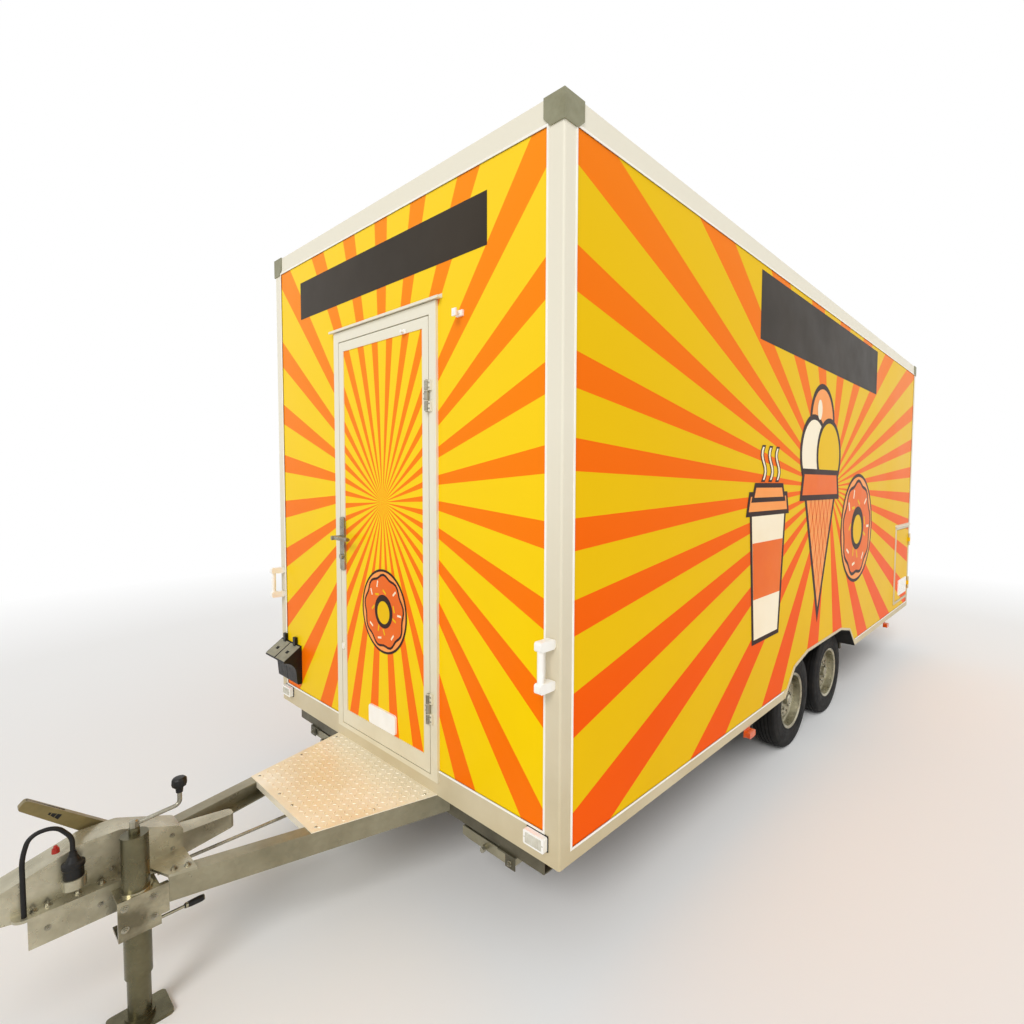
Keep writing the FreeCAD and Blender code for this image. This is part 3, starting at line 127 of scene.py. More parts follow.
finishes = {
    # slot, tint, tint of the patches, their scale, roughness from and to, bump, its scale, and the rest
    # creamProfile and doorWhite grow darker towards the bottom through above and span: painted shade
    "creamProfile": ("cream_profile", (208, 194, 160), (196, 180, 143), 2.2, (0.36, 0.5), 0.02, 60,
        dict(above=(233, 227, 208), span=(0.45, 1.9), shine=0.3)),
    "doorWhite": ("cream_profile", (226, 217, 190), (214, 203, 172), 3, (0.32, 0.44), 0.015, 80,
        dict(above=(234, 228, 208), span=(0.5, 1.8), shine=0.3)),
    # lipWhite: the profile's finish made near white for the lips, painted highlight
    "lipWhite": ("cream_profile", (250, 248, 240), (242, 238, 226), 5, (0.4, 0.5), 0.02, 120),
    "roofWhite": ("white_panel", (228, 228, 222), (205, 204, 194), 1.4, (0.4, 0.6), 0.05, 40),
    "wallYellow": ("painted_panel", (238, 192, 5), (233, 185, 4), 0.8, (0.28, 0.36), 0.012, 30,
        dict(above=(238, 194, 14), span=(0.9, 2.8), shine=0.04)),
    "wallOrange": ("painted_panel", (247, 92, 3), (243, 87, 3), 0.8, (0.28, 0.36), 0.012, 30,
        dict(above=(248, 128, 12), span=(0.9, 2.8), shine=0.04)),
    # frontYellowPaintedLight and frontOrangePaintedLight: the side walls' film made lighter for the front wall and
    # its door, painted light
    "frontYellowPaintedLight": ("painted_panel", (248, 208, 4), (243, 200, 4), 0.8, (0.28, 0.36), 0.012, 30,
        dict(above=(252, 212, 42), span=(1.2, 2.8), shine=0.05)),
    "frontOrangePaintedLight": ("painted_panel", (250, 118, 3), (247, 112, 3), 0.8, (0.28, 0.36), 0.012, 30,
        dict(above=(251, 144, 22), span=(1.2, 2.8), shine=0.05)),
    "bannerBrown": ("painted_panel", (56, 48, 38), (48, 41, 32), 1.5, (0.34, 0.44), 0.01, 30,
        dict(shine=0.1)),
    "outlineBrown": ("painted_panel", (50, 24, 14), (42, 20, 12), 2, (0.34, 0.42), 0.01, 30, dict(shine=0.1)),
    "motifTan": ("painted_panel", (252, 162, 84), (249, 152, 70), 2.5, (0.32, 0.4), 0.01, 30,
        dict(shine=0.12)),
    "motifCream": ("painted_panel", (253, 240, 212), (249, 232, 198), 2.5, (0.32, 0.4), 0.01, 30,
        dict(shine=0.12)),
    "motifOrange": ("painted_panel", (240, 112, 20), (234, 102, 16), 2.5, (0.32, 0.4), 0.01, 30,
        dict(shine=0.12)),
    "innerBoard": ("white_panel", (226, 223, 214), (212, 208, 196), 1.5, (0.45, 0.6), 0.03, 90),
    "floorBoard": ("floor_board", (112, 84, 60), (88, 64, 44), 6, (0.5, 0.7), 0.12, 70,
        dict(stretch=(0.15, 1, 1))),
    "archBlack": ("dark_board", (22, 22, 22), (38, 36, 32), 5, (0.6, 0.8), 0.1, 160, dict(shine=0.2)),
    "galvanised": ("galvanised", (160, 154, 130), (128, 122, 98), 3.2, (0.26, 0.42), 0.04, 180,
        dict(metal=0.6, spangle=60)),
    # galvanisedUnderShade: a darker copy of the galvanised steel for the parts under the body, painted shade, with a
    # rougher finish
    "galvanisedUnderShade": ("galvanised", (104, 99, 80), (78, 74, 58), 5, (0.38, 0.56), 0.07, 160,
        dict(metal=0.5, spangle=60)),
    "zincPlate": ("galvanised", (176, 170, 146), (112, 106, 86), 9, (0.14, 0.3), 0.03, 140,
        dict(metal=0.85, spangle=80)),
    "zincDip": ("galvanised", (196, 190, 166), (146, 140, 116), 5, (0.2, 0.36), 0.04, 160,
        dict(metal=0.6, spangle=70)),
    "plateCream": ("tread_plate", (248, 240, 218), (238, 226, 196), 4, (0.3, 0.5), 0.05, 200,
        dict(metal=0.3)),
    "jackSteel": ("jack_steel", (112, 107, 82), (84, 80, 58), 6, (0.22, 0.36), 0.03, 200,
        dict(metal=0.75, spangle=90)),
    "zincBright": ("zinc_steel", (170, 166, 150), (132, 126, 110), 20, (0.22, 0.36), 0.03, 250,
        dict(metal=0.85)),
    "castCoated": ("coated_steel", (142, 128, 84), (112, 100, 64), 8, (0.34, 0.5), 0.05, 260,
        dict(metal=0.5)),
    "wheelSilver": ("silver_wheel", (188, 183, 160), (122, 116, 94), 9, (0.22, 0.4), 0.03, 240,
        dict(metal=0.7)),
    "tyreRubber": ("tyre_rubber", (16, 15, 14), (27, 25, 22), 9, (0.6, 0.8), 0.08, 300, dict(shine=0.25)),
    "softRubber": ("bellows_rubber", (16, 16, 16), (26, 25, 24), 16, (0.45, 0.6), 0.05, 260, dict(shine=0.3)),
    "blackPlastic": ("black_plastic", (17, 16, 15), (27, 26, 24), 14, (0.38, 0.52), 0.08, 420,
        dict(shine=0.3)),
    # chockGrey: the chocks' black plastic made grey for their tread faces, painted highlight
    "chockGrey": ("black_plastic", (148, 144, 124), (128, 124, 104), 14, (0.5, 0.66), 0.1, 380,
        dict(shine=0.3)),
    "whitePlastic": ("white_plastic", (250, 248, 242), (245, 242, 234), 12, (0.28, 0.4), 0.02, 200),
    "capGrey": ("grey_plastic", (146, 144, 118), (130, 127, 100), 12, (0.45, 0.6), 0.07, 380,
        dict(shine=0.3)),
    "valveRed": ("red_lens", (190, 40, 24), (160, 32, 20), 30, (0.35, 0.5), 0.03, 300),
    "lensClear": ("clear_lens", (216, 212, 196), (196, 192, 174), 30, (0.12, 0.2), 0.02, 300, dict(coat=0.8)),
    "lensAmber": ("amber_lens", (226, 92, 10), (196, 66, 6), 30, (0.14, 0.22), 0.03, 300, dict(coat=0.5)),
    "lensRed": ("red_lens", (176, 16, 12), (148, 12, 10), 30, (0.14, 0.22), 0.03, 300, dict(coat=0.8)),
}


def remap(tree, source, start=(0.0, 1.0), end=(0.0, 1.0)):
    # a value carried from one range to another
    ranged = addNode(tree, "ShaderNodeMapRange", **{"From Min": start[0], "From Max": start[1],
                                                    "To Min": end[0], "To Max": end[1]})
    tree.links.new(source, ranged.inputs["Value"])
    return ranged.outputs["Result"]


def makeFinish(name, colour, patch, patchScale, rough, bump, bumpScale, metal=0.0, coat=0.0,
               spangle=0, above=None, span=None, stretch=None, shine=0.5):
    material = bpy.data.materials.new(name)
    material.use_nodes = True
    tree = material.node_tree
    link = tree.links.new
    shader = tree.nodes["Principled BSDF"]
    shader.inputs["Metallic"].default_value = metal
    shader.inputs["Coat Weight"].default_value = coat
    shader.inputs["Specular IOR Level"].default_value = shine
    place = addNode(tree, "ShaderNodeTexCoord").outputs["Object"]
    if stretch:
        mapping = addNode(tree, "ShaderNodeMapping", Scale=stretch)
        link(place, mapping.inputs["Vector"])
        place = mapping.outputs["Vector"]
    clouds = addNode(tree, "ShaderNodeTexNoise", Scale=patchScale, Detail=5, Roughness=0.6)
    link(place, clouds.inputs["Vector"])
    ramp = addNode(tree, "ShaderNodeValToRGB")
    ramp.color_ramp.elements[0].position, ramp.color_ramp.elements[1].position = 0.38, 0.66
    ramp.color_ramp.elements[0].color = screen(*colour)
    ramp.color_ramp.elements[1].color = screen(*patch)
    link(clouds.outputs["Fac"], ramp.inputs["Fac"])
    tint = ramp.outputs["Color"]
    if above:  # the tint changes towards the roof; on creamProfile and doorWhite this is painted shade, darker low down
        spot = addNode(tree, "ShaderNodeSeparateXYZ")
        link(place, spot.inputs["Vector"])
        mixed = addNode(tree, "ShaderNodeMix", data_type="RGBA")
        link(remap(tree, spot.outputs["Z"], span), mixed.inputs[0])
        link(tint, mixed.inputs[6])
        mixed.inputs[7].default_value = screen(*above)
        tint = mixed.outputs[2]
    if spangle:  # zinc crystals
        cells = addNode(tree, "ShaderNodeTexVoronoi", Scale=spangle)
        link(place, cells.inputs["Vector"])
        crystal = addNode(tree, "ShaderNodeMix", data_type="RGBA", blend_type="MULTIPLY")
        crystal.inputs[0].default_value = 1
        link(tint, crystal.inputs[6])
        link(remap(tree, cells.outputs["Color"], end=(0.93, 1.04)), crystal.inputs[7])
        tint = crystal.outputs[2]
    link(tint, shader.inputs["Base Color"])
    grain = addNode(tree, "ShaderNodeTexNoise", Scale=bumpScale, Detail=4)
    link(place, grain.inputs["Vector"])
    wear = addNode(tree, "ShaderNodeTexNoise", Scale=patchScale * 3, Detail=6)
    link(place, wear.inputs["Vector"])
    link(remap(tree, wear.outputs["Fac"], (0.3, 0.7), rough), shader.inputs["Roughness"])
    relief = addNode(tree, "ShaderNodeBump", Strength=bump, Distance=0.004)
    link(grain.outputs["Fac"], relief.inputs["Height"])
    link(relief.outputs["Normal"], shader.inputs["Normal"])
    return material


finish = {name: makeFinish(name, *row[1:7], **dict(*row[7:])) for name, row in finishes.items()}
print("finishes made:", len(finish))


# Making pieces
def newPiece(name, mesh, material, body, smooth=False):
    mesh.calc_loop_triangles()
    piece = bpy.data.objects.new(name, mesh)
    scene.collection.objects.link(piece)
    materials = (material,) if isinstance(material, str) else material
    for one in materials:
        mesh.materials.append(finish[one])
    for face in mesh.polygons:
        face.use_smooth = smooth
    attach(piece, body)
    return piece


def finishMesh(work, name, material, body, smooth=False, bevel=0, segments=2):
    if bevel:
        bmesh.ops.bevel(work, geom=work.edges[:], offset=bevel, segments=segments, profile=0.6,
                        affect="EDGES", clamp_overlap=True)
    bmesh.ops.recalc_face_normals(work, faces=work.faces[:])
    mesh = bpy.data.meshes.new(name)
    work.to_mesh(mesh)
    work.free()
    piece = newPiece(name, mesh, material, body, smooth)
    if smooth:
        mesh.set_sharp_from_angle(angle=math.radians(34))
    return piece


def addBlock(work, low, high):
    made = bmesh.ops.create_cube(work, size=1)["verts"]
    low, high = Vector(low), Vector(high)
    for vert in made:
        for i in range(3):
            vert.co[i] = low[i] if vert.co[i] < 0 else high[i]
    return made


def addPad(work, near, far, y, z, half, rise):
    addBlock(work, (near, y - half, z - rise), (far, y + half, z + rise))


def addRod(work, start, end, radius, sides=24, radiusEnd=None):
    start, end = Vector(start), Vector(end)
    along = end - start
    turn = along.to_track_quat("Z", "Y").to_matrix().to_4x4()
    made = bmesh.ops.create_cone(work, cap_ends=True, segments=sides, radius1=radius,
                                 radius2=radius if radiusEnd is None else radiusEnd, depth=along.length)["verts"]
    bmesh.ops.transform(work, matrix=Matrix.Translation((start + end) / 2) @ turn, verts=made)
    return made


def addLathe(work, outline, centre, axis="Y", steps=64):
    # outline: (place along the axis, radius)
    centre = Vector(centre)
    rings = []
    for step in range(steps):
        angle = 2 * math.pi * step / steps
        ring = []
        for along, radius in outline:
            a, b = radius * math.cos(angle), radius * math.sin(angle)
            spot = {"Y": (a, along, b), "Z": (a, b, along), "X": (along, a, b)}[axis]
            ring.append(work.verts.new(centre + Vector(spot)))
        rings.append(ring)
    for step in range(steps):
        one, two = rings[step], rings[(step + 1) % steps]
        for i in range(len(outline) - 1):
            work.faces.new((one[i], one[i + 1], two[i + 1], two[i]))
    return rings


def addBolt(work, spot, outward, size=0.0065, washer=True):
    # hexagon head with a domed washer
    spot, outward = Vector(spot), Vector(outward).normalized()
    if washer:
        addRod(work, spot, spot + outward * size * 0.25, size * 1.35, 16)
    addRod(work, spot, spot + outward * size * 1.0, size, 6, size * 0.94)
    addRod(work, spot, spot + outward * size * 1.5, size * 0.5, 10, size * 0.45)


def addRivet(work, spot, outward, size=0.004):
    spot, outward = Vector(spot), Vector(outward).normalized()
    addRod(work, spot, spot + outward * size * 0.35, size, 12, size * 0.72)


# Wall planes: an origin on the face, and the way right, up and out as seen from outside
skinIn = 0.003
wallFaces = {
    "front": (Vector((frontX - skinIn, 0, 0)), Vector((0, 1, 0)), Vector((1, 0, 0))),
    "rear": (Vector((rearX + skinIn, 0, 0)), Vector((0, -1, 0)), Vector((-1, 0, 0))),
    "left": (Vector((frontX, sideY - skinIn, 0)), Vector((-1, 0, 0)), Vector((0, 1, 0))),
    "right": (Vector((frontX, -sideY + skinIn, 0)), Vector((1, 0, 0)), Vector((0, -1, 0))),
}


def onWall(wall, across, height, lift=0.0):
    origin, rightward, outward = wallFaces[wall]
    return origin + rightward * across + Vector((0, 0, height)) + outward * lift


def inside(polygon, across, height):
    signs = []
    for one, two in zip(polygon, polygon[1:] + polygon[:1]):
        signs.append((two[0] - one[0]) * (height - one[1]) - (two[1] - one[1]) * (across - one[0]))
    return all(s >= 0 for s in signs) or all(s <= 0 for s in signs)


def layOnWall(work, mesh, wall, lift):
    # flat faces drawn as (across, height) go onto a wall, all facing out
    for vert in work.verts:
        vert.co = onWall(wall, vert.co.x, vert.co.y, lift)
    bmesh.ops.recalc_face_normals(work, faces=work.faces[:])
    for face in work.faces:
        if face.normal.dot(wallFaces[wall][2]) < 0:
            face.normal_flip()
    work.to_mesh(mesh)
    work.free()


def sunburst(name, wall, body, area, burst, colours, lift, holes=()):
    # a film cut into rays round one point; area is left, right, bottom, top on the wall, and
    # burst gives the point, the ray pairs, where the first starts, its share and a sideways stretch
    centre, pairs, phase, share, stretch = burst
    pitch, phase = 2 * math.pi / pairs, math.radians(phase)
    work = bmesh.new()
    left, right, low, high = area
    spots = [work.verts.new((a, h, 0)) for a, h in ((left, low), (right, low), (right, high), (left, high))]
    work.faces.new(spots)

    def cutAlong(point, normal):
        geometry = work.verts[:] + work.edges[:] + work.faces[:]
        bmesh.ops.bisect_plane(work, geom=geometry, plane_co=(*point, 0), plane_no=(*normal, 0))

    for hole in holes:
        for one, two in zip(hole, hole[1:] + hole[:1]):
            cutAlong(one, (two[1] - one[1], one[0] - two[0]))
    unwanted = [face for face in work.faces
                if any(inside(hole, *face.calc_center_median()[:2]) for hole in holes)]
    bmesh.ops.delete(work, geom=unwanted, context="FACES")
    if left < centre[0] < right and low < centre[1] < high:
        cutAlong(centre, (1, 0))
    for i in range(pairs // 2):
        for angle in (phase + pitch * i, phase + pitch * (i + share)):
            cutAlong(centre, (-math.sin(angle), math.cos(angle) * stretch))
    for face in work.faces:
        middle = face.calc_center_median()
        turn = math.atan2((middle.y - centre[1]) * stretch, middle.x - centre[0]) - phase
        face.material_index = 1 if (turn / pitch) % 1 < share else 0
    mesh = bpy.data.meshes.new(name)
    layOnWall(work, mesh, wall, lift)
    return newPiece(name, mesh, colours, body)


def decal(name, wall, body, loops, material, lift, grow=0.0):
    # a flat cut-out on a wall; each loop is a list of (across, height), grown by an offset
    curve = bpy.data.curves.new(name + "Line", "CURVE")
    curve.dimensions = "2D"
    curve.fill_mode = "BOTH"
    curve.offset = grow
    for loop in loops:
        spline = curve.splines.new("POLY")
        spline.points.add(len(loop) - 1)
        for point, (across, height) in zip(spline.points, loop):
            point.co = (across, height, 0, 1)
        spline.use_cyclic_u = True
    carrier = bpy.data.objects.new(name + "Line", curve)
    scene.collection.objects.link(carrier)
    bpy.context.view_layer.update()
    mesh = bpy.data.meshes.new_from_object(carrier.evaluated_get(bpy.context.evaluated_depsgraph_get()))
    bpy.data.objects.remove(carrier)
    work = bmesh.new()
    work.from_mesh(mesh)
    layOnWall(work, mesh, wall, lift)
    mesh.name = name
    return newPiece(name, mesh, material, body)


# Carried-over CAD nodes get their finishes
nodeFinish = {
    "edge_profiles": "creamProfile", "corner_caps": "capGrey", "floor_panel": "floorBoard",
    "roof_panel": "roofWhite", "wall_front": "innerBoard", "wall_rear": "innerBoard",
    "wall_left": "innerBoard", "wall_right": "innerBoard", "wheel_boxes": "archBlack",
    "door_frame": "doorWhite", "door_leaf": "doorWhite", "door_panel": "frontYellowPaintedLight",
    "door_handle": "zincBright", "door_vent": "whitePlastic", "drip_rails": "doorWhite",
    "locker_frame": "creamProfile", "locker_box": "innerBoard", "locker_leaf": "wallYellow",
    "locker_fittings": "whitePlastic", "hatch_frame": "creamProfile", "hatch_flap": "wallYellow",
    # chassis rails, cross members, axles and steady brackets take the darker galvanised copy: painted shade
    "drawbar_arms": "galvanised", "chassis_rails": "galvanisedUnderShade", "cross_members": "galvanisedUnderShade",
    "step_deck": "plateCream", "axles": "galvanisedUnderShade", "overrun_housing": "zincDip",
    "brake_linkage": "zincBright", "bellows": "softRubber", "coupling_head": "castCoated",
    "jack_tube": "jackSteel", "jack_clamp": "zincPlate", "jack_leg": "jackSteel", "jack_crank": "zincBright",
    "handbrake_lever": "castCoated", "steady_brackets": "galvanisedUnderShade", "front_lamps": "whitePlastic",
    "side_lamps": "lensAmber", "rear_lamps": "lensRed", "plate_holder": "whitePlastic",
    "grab_handles": "whitePlastic", "wheel_chocks": "blackPlastic", "plug": "blackPlastic",
    "plug_cable": "softRubber",
}
for node, thing in frame["nodes"].items():
    chosen = nodeFinish.get(node)
    if chosen is None:
        chosen = {"tyre": "tyreRubber", "rim": "wheelSilver"}.get(node.split("_")[0], "galvanised")
    for holder in thing.material_slots:
        holder.material = finish[chosen]
    if not thing.material_slots:
        thing.data.materials.append(finish[chosen])
print("CAD nodes painted:", len(frame["nodes"]))


# Film on the walls
film = {
    "lift": 0.0006, "leafProud": 0.006, "flapHead": 0.230, "hingeSide": 0.0315,
    "front": ((0.019, 1.651), 26, 4.33, 0.37, 1.0), "rear": ((0.0, 1.62), 26, 4.33, 0.37, 1.0),
    "left": ((2.585, 1.674), 28, 4.5, 0.41, 2.2), "right": ((-2.585, 1.674), 28, 4.5, 0.41, 2.2),
    "door": ((0.028, 1.60), 36, 2.5, 0.42, 1.0),
    "postFront": 0.075, "postSide": 0.060, "railTop": 0.084, "railFront": 0.107, "railSide": 0.052,
    "doorGap": 0.013, "lockerGap": 0.012, "hatchGap": 0.02, "below": 0.2, "pictureLift": 0.0012,
}
arch = {"shoulder": 0.149, "slopeLow": 0.149, "slopeHigh": 0.219}
trailer = "trailer"
frameLow, frameHigh = corners("door_frame")
lockLow, lockHigh = corners("locker_frame")
hatchLow, hatchHigh = corners("hatch_frame")
panelLow, panelHigh = corners("door_panel")
topEdge = topZ - film["railTop"]
halfFront = sideY - film["postFront"]


def rectangle(left, right, low, high):
    return [(left, low), (right, low), (right, high), (left, high)]


doorHole = rectangle(frameLow.y, frameHigh.y - film["doorGap"], frameLow.z - film["below"], frameHigh.z)
endArea = (-halfFront, halfFront, baseZ + film["railFront"], topEdge)
# the front wall and the door take the lighter copies of the film: painted light
frontPair, wallPair = ("frontYellowPaintedLight", "frontOrangePaintedLight"), ("wallYellow", "wallOrange")
sunburst("front_film", "front", trailer, endArea, film["front"], frontPair, film["lift"], [doorHole])
sunburst("rear_film", "rear", trailer, endArea, film["rear"], wallPair, film["lift"])

archLow, archHigh = corners("wheel_boxes")
archFore, archAft = frontX - archHigh.x, frontX - archLow.x
archTop, shoulder = archHigh.z, baseZ + arch["shoulder"]
low, high = arch["slopeLow"], arch["slopeLow"] + arch["slopeHigh"]
archLine = [(archFore, baseZ), (archFore + low, shoulder), (archFore + high, archTop),
            (archAft - high, archTop), (archAft - low, shoulder), (archAft, baseZ)]
archHole = [(archFore, baseZ - film["below"]), *archLine, (archAft, baseZ - film["below"])]
length = frontX - rearX
lockHole = rectangle(frontX - lockHigh.x, frontX - lockLow.x - film["lockerGap"], lockLow.z, lockHigh.z)
sideArea = (film["postSide"], length - film["postSide"], baseZ + film["railSide"], topEdge)
sunburst("left_film", "left", trailer, sideArea, film["left"], wallPair, film["lift"], [archHole, lockHole])
rightArea = (-sideArea[1], -sideArea[0], sideArea[2], sideArea[3])
mirrored = [(-a, h) for a, h in archHole]
hatchHole = rectangle(hatchLow.x - frontX, hatchHigh.x - frontX, hatchLow.z, hatchHigh.z - film["hatchGap"])
sunburst("right_film", "right", trailer, rightArea, film["right"], wallPair, film["lift"],
         [mirrored, hatchHole])

doorLift = panelHigh.x - (frontX - skinIn) + film["lift"]
sunburst("door_film", "front", "front_door", (panelLow.y, panelHigh.y, panelLow.z, panelHigh.z), film["door"],
         frontPair, doorLift)
leafLift = film["leafProud"] + skinIn + film["lift"]
lockerLow, lockerHigh = corners("locker_leaf")
leafArea = (frontX - lockerHigh.x, frontX - lockerLow.x - film["hingeSide"], lockerLow.z, lockerHigh.z)
sunburst("locker_film", "left", "locker_door", leafArea, film["left"], wallPair, leafLift)
flapLow, flapHigh = corners("hatch_flap")
flapArea = (flapLow.x - frontX, flapHigh.x - frontX, flapLow.z, topZ - film["flapHead"])
sunburst("flap_film", "right", "serving_flap", flapArea, film["right"], wallPair, leafLift)
print("films cut")

# Blank banners
banners = {
    "front_banner": dict(wall="front", area=(-0.785, 0.730, 2.520, 2.706)),
    "left_banner": dict(wall="left", area=(1.440, 3.705, 2.430, 2.775)),
}
for name, settings in banners.items():
    decal(name, settings["wall"], trailer, [rectangle(*settings["area"])], "bannerBrown",
          film["pictureLift"])

# Generic sweet-shop pictures where the film carries one: an ice-cream cone, a ring doughnut and a cup
def arc(middle, radius, start, end, steps=24, squash=1.0):
    points = []
    for i in range(steps + 1):
        turn = math.radians(start + (end - start) * i / steps)
        points.append((middle[0] + radius * math.cos(turn), middle[1] + radius * squash * math.sin(turn)))
    return points


def coneShapes():
    # drawn about its own middle, one metre tall: (name, outline, finish, layer)
    half, high, deep = 0.20, 0.06, 0.56
    shapes = [("wafer", [(-half, high), (0.0, high - deep), (half, high)], "motifTan", 1)]
    for i, start in enumerate((-0.15, -0.10, -0.05, 0.0, 0.05, 0.10)):  # wafer lines along both sides
        run = (half - start) / (2 * half)
        end, low = start + half * run, high - deep * run
        for flip in (1, -1):
            line = [(flip * (start - 0.004), high), (flip * (start + 0.004), high),
                    (flip * (end + 0.004), low), (flip * (end - 0.004), low)]
            shapes.append(("waferLine%d%s" % (i, "ab"[flip < 0]), line, "motifOrange", 2))
    shapes.append(("rim", [(-0.235, 0.02), (0.235, 0.02), (0.215, 0.11), (-0.215, 0.11)], "motifOrange", 4))
    shapes.append(("scoopTop", arc((0.0, 0.355), 0.14, 0, 350, 35), "motifTan", 1))
    shapes.append(("scoopLow", arc((-0.10, 0.20), 0.15, 0, 350, 35), "motifCream", 2))
    shapes.append(("scoopSide", arc((0.10, 0.20), 0.15, 0, 350, 35), "wallYellow", 3))
    shapes.append(("glint", arc((-0.045, 0.40), 0.03, 0, 342, 19, 1.5), "motifCream", 5))
    return shapes


def doughnutShapes():
    ring = arc((0, 0), 0.40, 0, 360, 56)
    waves = [0.86 + 0.035 * math.sin(9 * i / 56 * 2 * math.pi) for i in range(len(ring))]
    glaze = [(x * wave, y * wave) for (x, y), wave in zip(ring, waves)]
    shapes = [("ring", ring, "motifTan", 2), ("glaze", glaze, "motifOrange", 3),
              ("hole", arc((0, 0), 0.145, 0, 360, 32), "outlineBrown", 4),
              ("holeLight", arc((0, -0.01), 0.115, 0, 360, 32), "wallYellow", 5)]
    for i in range(14):  # sugar strands
        turn = 2 * math.pi * i / 14 + 0.2 * math.sin(5 * i)
        away = 0.245 + 0.045 * math.cos(3.1 * i)
        x, y, lean = away * math.cos(turn), away * math.sin(turn), 1.9 * i
        a, b = 0.034 * math.cos(lean), 0.034 * math.sin(lean)
        c, d = -0.010 * math.sin(lean), 0.010 * math.cos(lean)
        shapes.append(("strand%d" % i, [(x - a - c, y - b - d), (x + a - c, y + b - d),
                                        (x + a + c, y + b + d), (x - a + c, y - b + d)],
                       ("motifCream", "wallYellow")[i % 2], 4))
    return shapes


def cupShapes():
    shapes = [("cup", [(-0.21, 0.22), (-0.15, -0.45), (0.15, -0.45), (0.21, 0.22)], "motifCream", 2),
              ("sleeve", [(-0.193, 0.05), (-0.168, -0.24), (0.168, -0.24), (0.193, 0.05)], "motifOrange", 3),
              ("lid", [(-0.245, 0.21), (0.245, 0.21), (0.225, 0.285), (-0.225, 0.285)], "motifTan", 3),
              ("lidTop", [(-0.185, 0.28), (0.185, 0.28), (0.165, 0.33), (-0.165, 0.33)], "motifTan", 4)]
    for i in (-1, 0, 1):  # steam
        curl = [(0.09 * i + 0.022 * math.sin(t * 0.75), 0.37 + 0.021 * t) for t in range(9)]
        back = [(x + 0.020, y) for x, y in reversed(curl)]
        shapes.append(("steam%d" % (i + 1), curl + back, "motifCream", 3))
    return shapes


pictures = {
    "left_cone": dict(wall="left", middle=(2.42, 1.60), size=1.42, shapes=coneShapes()),
    "left_doughnut": dict(wall="left", middle=(3.28, 1.36), size=0.98, shapes=doughnutShapes()),
    "left_cup": dict(wall="left", middle=(1.60, 1.34), size=1.02, shapes=cupShapes()),
    "door_doughnut": dict(wall="front", middle=(0.03, 1.12), size=0.44, shapes=doughnutShapes(),
                          body="front_door", lift=doorLift + 0.0006),
}


def pastePicture(name, wall, middle, size, shapes, body=trailer, lift=film["pictureLift"]):
    step = 0.0002
    for part, outline, material, layer in shapes:
        placed = [(middle[0] + x * size, middle[1] + y * size) for x, y in outline]
        turning = sum(a[0] * b[1] - b[0] * a[1] for a, b in zip(placed, placed[1:] + placed[:1]))
        if turning < 0:
            placed.reverse()
        edged = layer < 5 and not part.startswith(("wafer", "strand", "sleeve")) or part == "wafer"
        if edged:
            grow = 0.010 if part.startswith("steam") else 0.024
            decal("%s_%s_edge" % (name, part), wall, body, [placed], "outlineBrown",
                  lift + step * (layer * 2 - 1), grow * size)
        decal("%s_%s" % (name, part), wall, body, [placed], material, lift + step * layer * 2)


for name, settings in pictures.items():
    pastePicture(name, **settings)
print("pictures pasted")


# Lips of the profiles along the films, made near white as a painted highlight, and the edging round the arches
lips = {"width": 0.008, "proud": 0.0022, "archWidth": 0.016, "archProud": 0.0045}


def addStrip(work, wall, one, two, width, low, high):
    # a strip on a wall from one point to two, widened to its left, from lift low to high
    (a, b), (c, d) = one, two
    along = Vector((c - a, d - b)).normalized()
    aside = Vector((-along.y, along.x)) * width
    quad = [(a, b), (c, d), (c + aside.x, d + aside.y), (a + aside.x, b + aside.y)]
    lowRing = [work.verts.new(onWall(wall, p[0], p[1], low)) for p in quad]
    highRing = [work.verts.new(onWall(wall, p[0], p[1], high)) for p in quad]
    work.faces.new(lowRing[::-1])
    work.faces.new(highRing)
    for i in range(4):
        work.faces.new((lowRing[i], lowRing[(i + 1) % 4], highRing[(i + 1) % 4], highRing[i]))


def lipFrame(name, wall, area, gapAt=()):
    work = bmesh.new()
    left, right, low, high = area
    wide, out = lips["width"], skinIn + lips["proud"]
    for one, two in (((left - wide, high), (right + wide, high)), ((left, low), (left, high)),
                     ((right, high), (right, low))):
        addStrip(work, wall, one, two, wide, 0.0, out)
    spans = [(left - wide, right + wide)]
    for start, end in gapAt:
        cutSpans = []
        for a, b in spans:
            if start > a:
                cutSpans.append((a, min(b, start)))
            if end < b:
                cutSpans.append((max(a, end), b))
        spans = [s for s in cutSpans if s[1] > s[0]]
    for a, b in spans:
        addStrip(work, wall, (b, low), (a, low), wide, 0.0, out)
    return finishMesh(work, name, "lipWhite", trailer, bevel=0.0007)


lipFrame("front_lips", "front", endArea, [(doorHole[0][0], doorHole[1][0])])
lipFrame("rear_lips", "rear", endArea)
lipFrame("left_lips", "left", sideArea, [(archFore - 0.02, archAft + 0.02)])
lipFrame("right_lips", "right", rightArea, [(-archAft - 0.02, -archFore + 0.02)])

for wall, flip in (("left", 1), ("right", -1)):
    work = bmesh.new()
    line = [(flip * a, h) for a, h in archLine]
    for one, two in zip(line, line[1:]):
        addStrip(work, wall, *((one, two) if flip > 0 else (two, one)), lips["archWidth"], 0.0,
                 skinIn + lips["archProud"])
    finishMesh(work, "%s_arch_edging" % wall, "creamProfile", trailer, bevel=0.0015)
print("lips laid")


# Tread plate on the deck: small lens-shaped ridges, turned one way and the other
tread = {"pitch": 0.0255, "length": 0.0195, "width": 0.0058, "height": 0.0019, "side": 0.014, "end": 0.012}
taper = {"half": 0.420, "slope": 0.30}


def armAt(reach, inset):
    # how far out the drawbar's arm stands at a reach from the front wall
    return taper["half"] - taper["slope"] * reach - inset


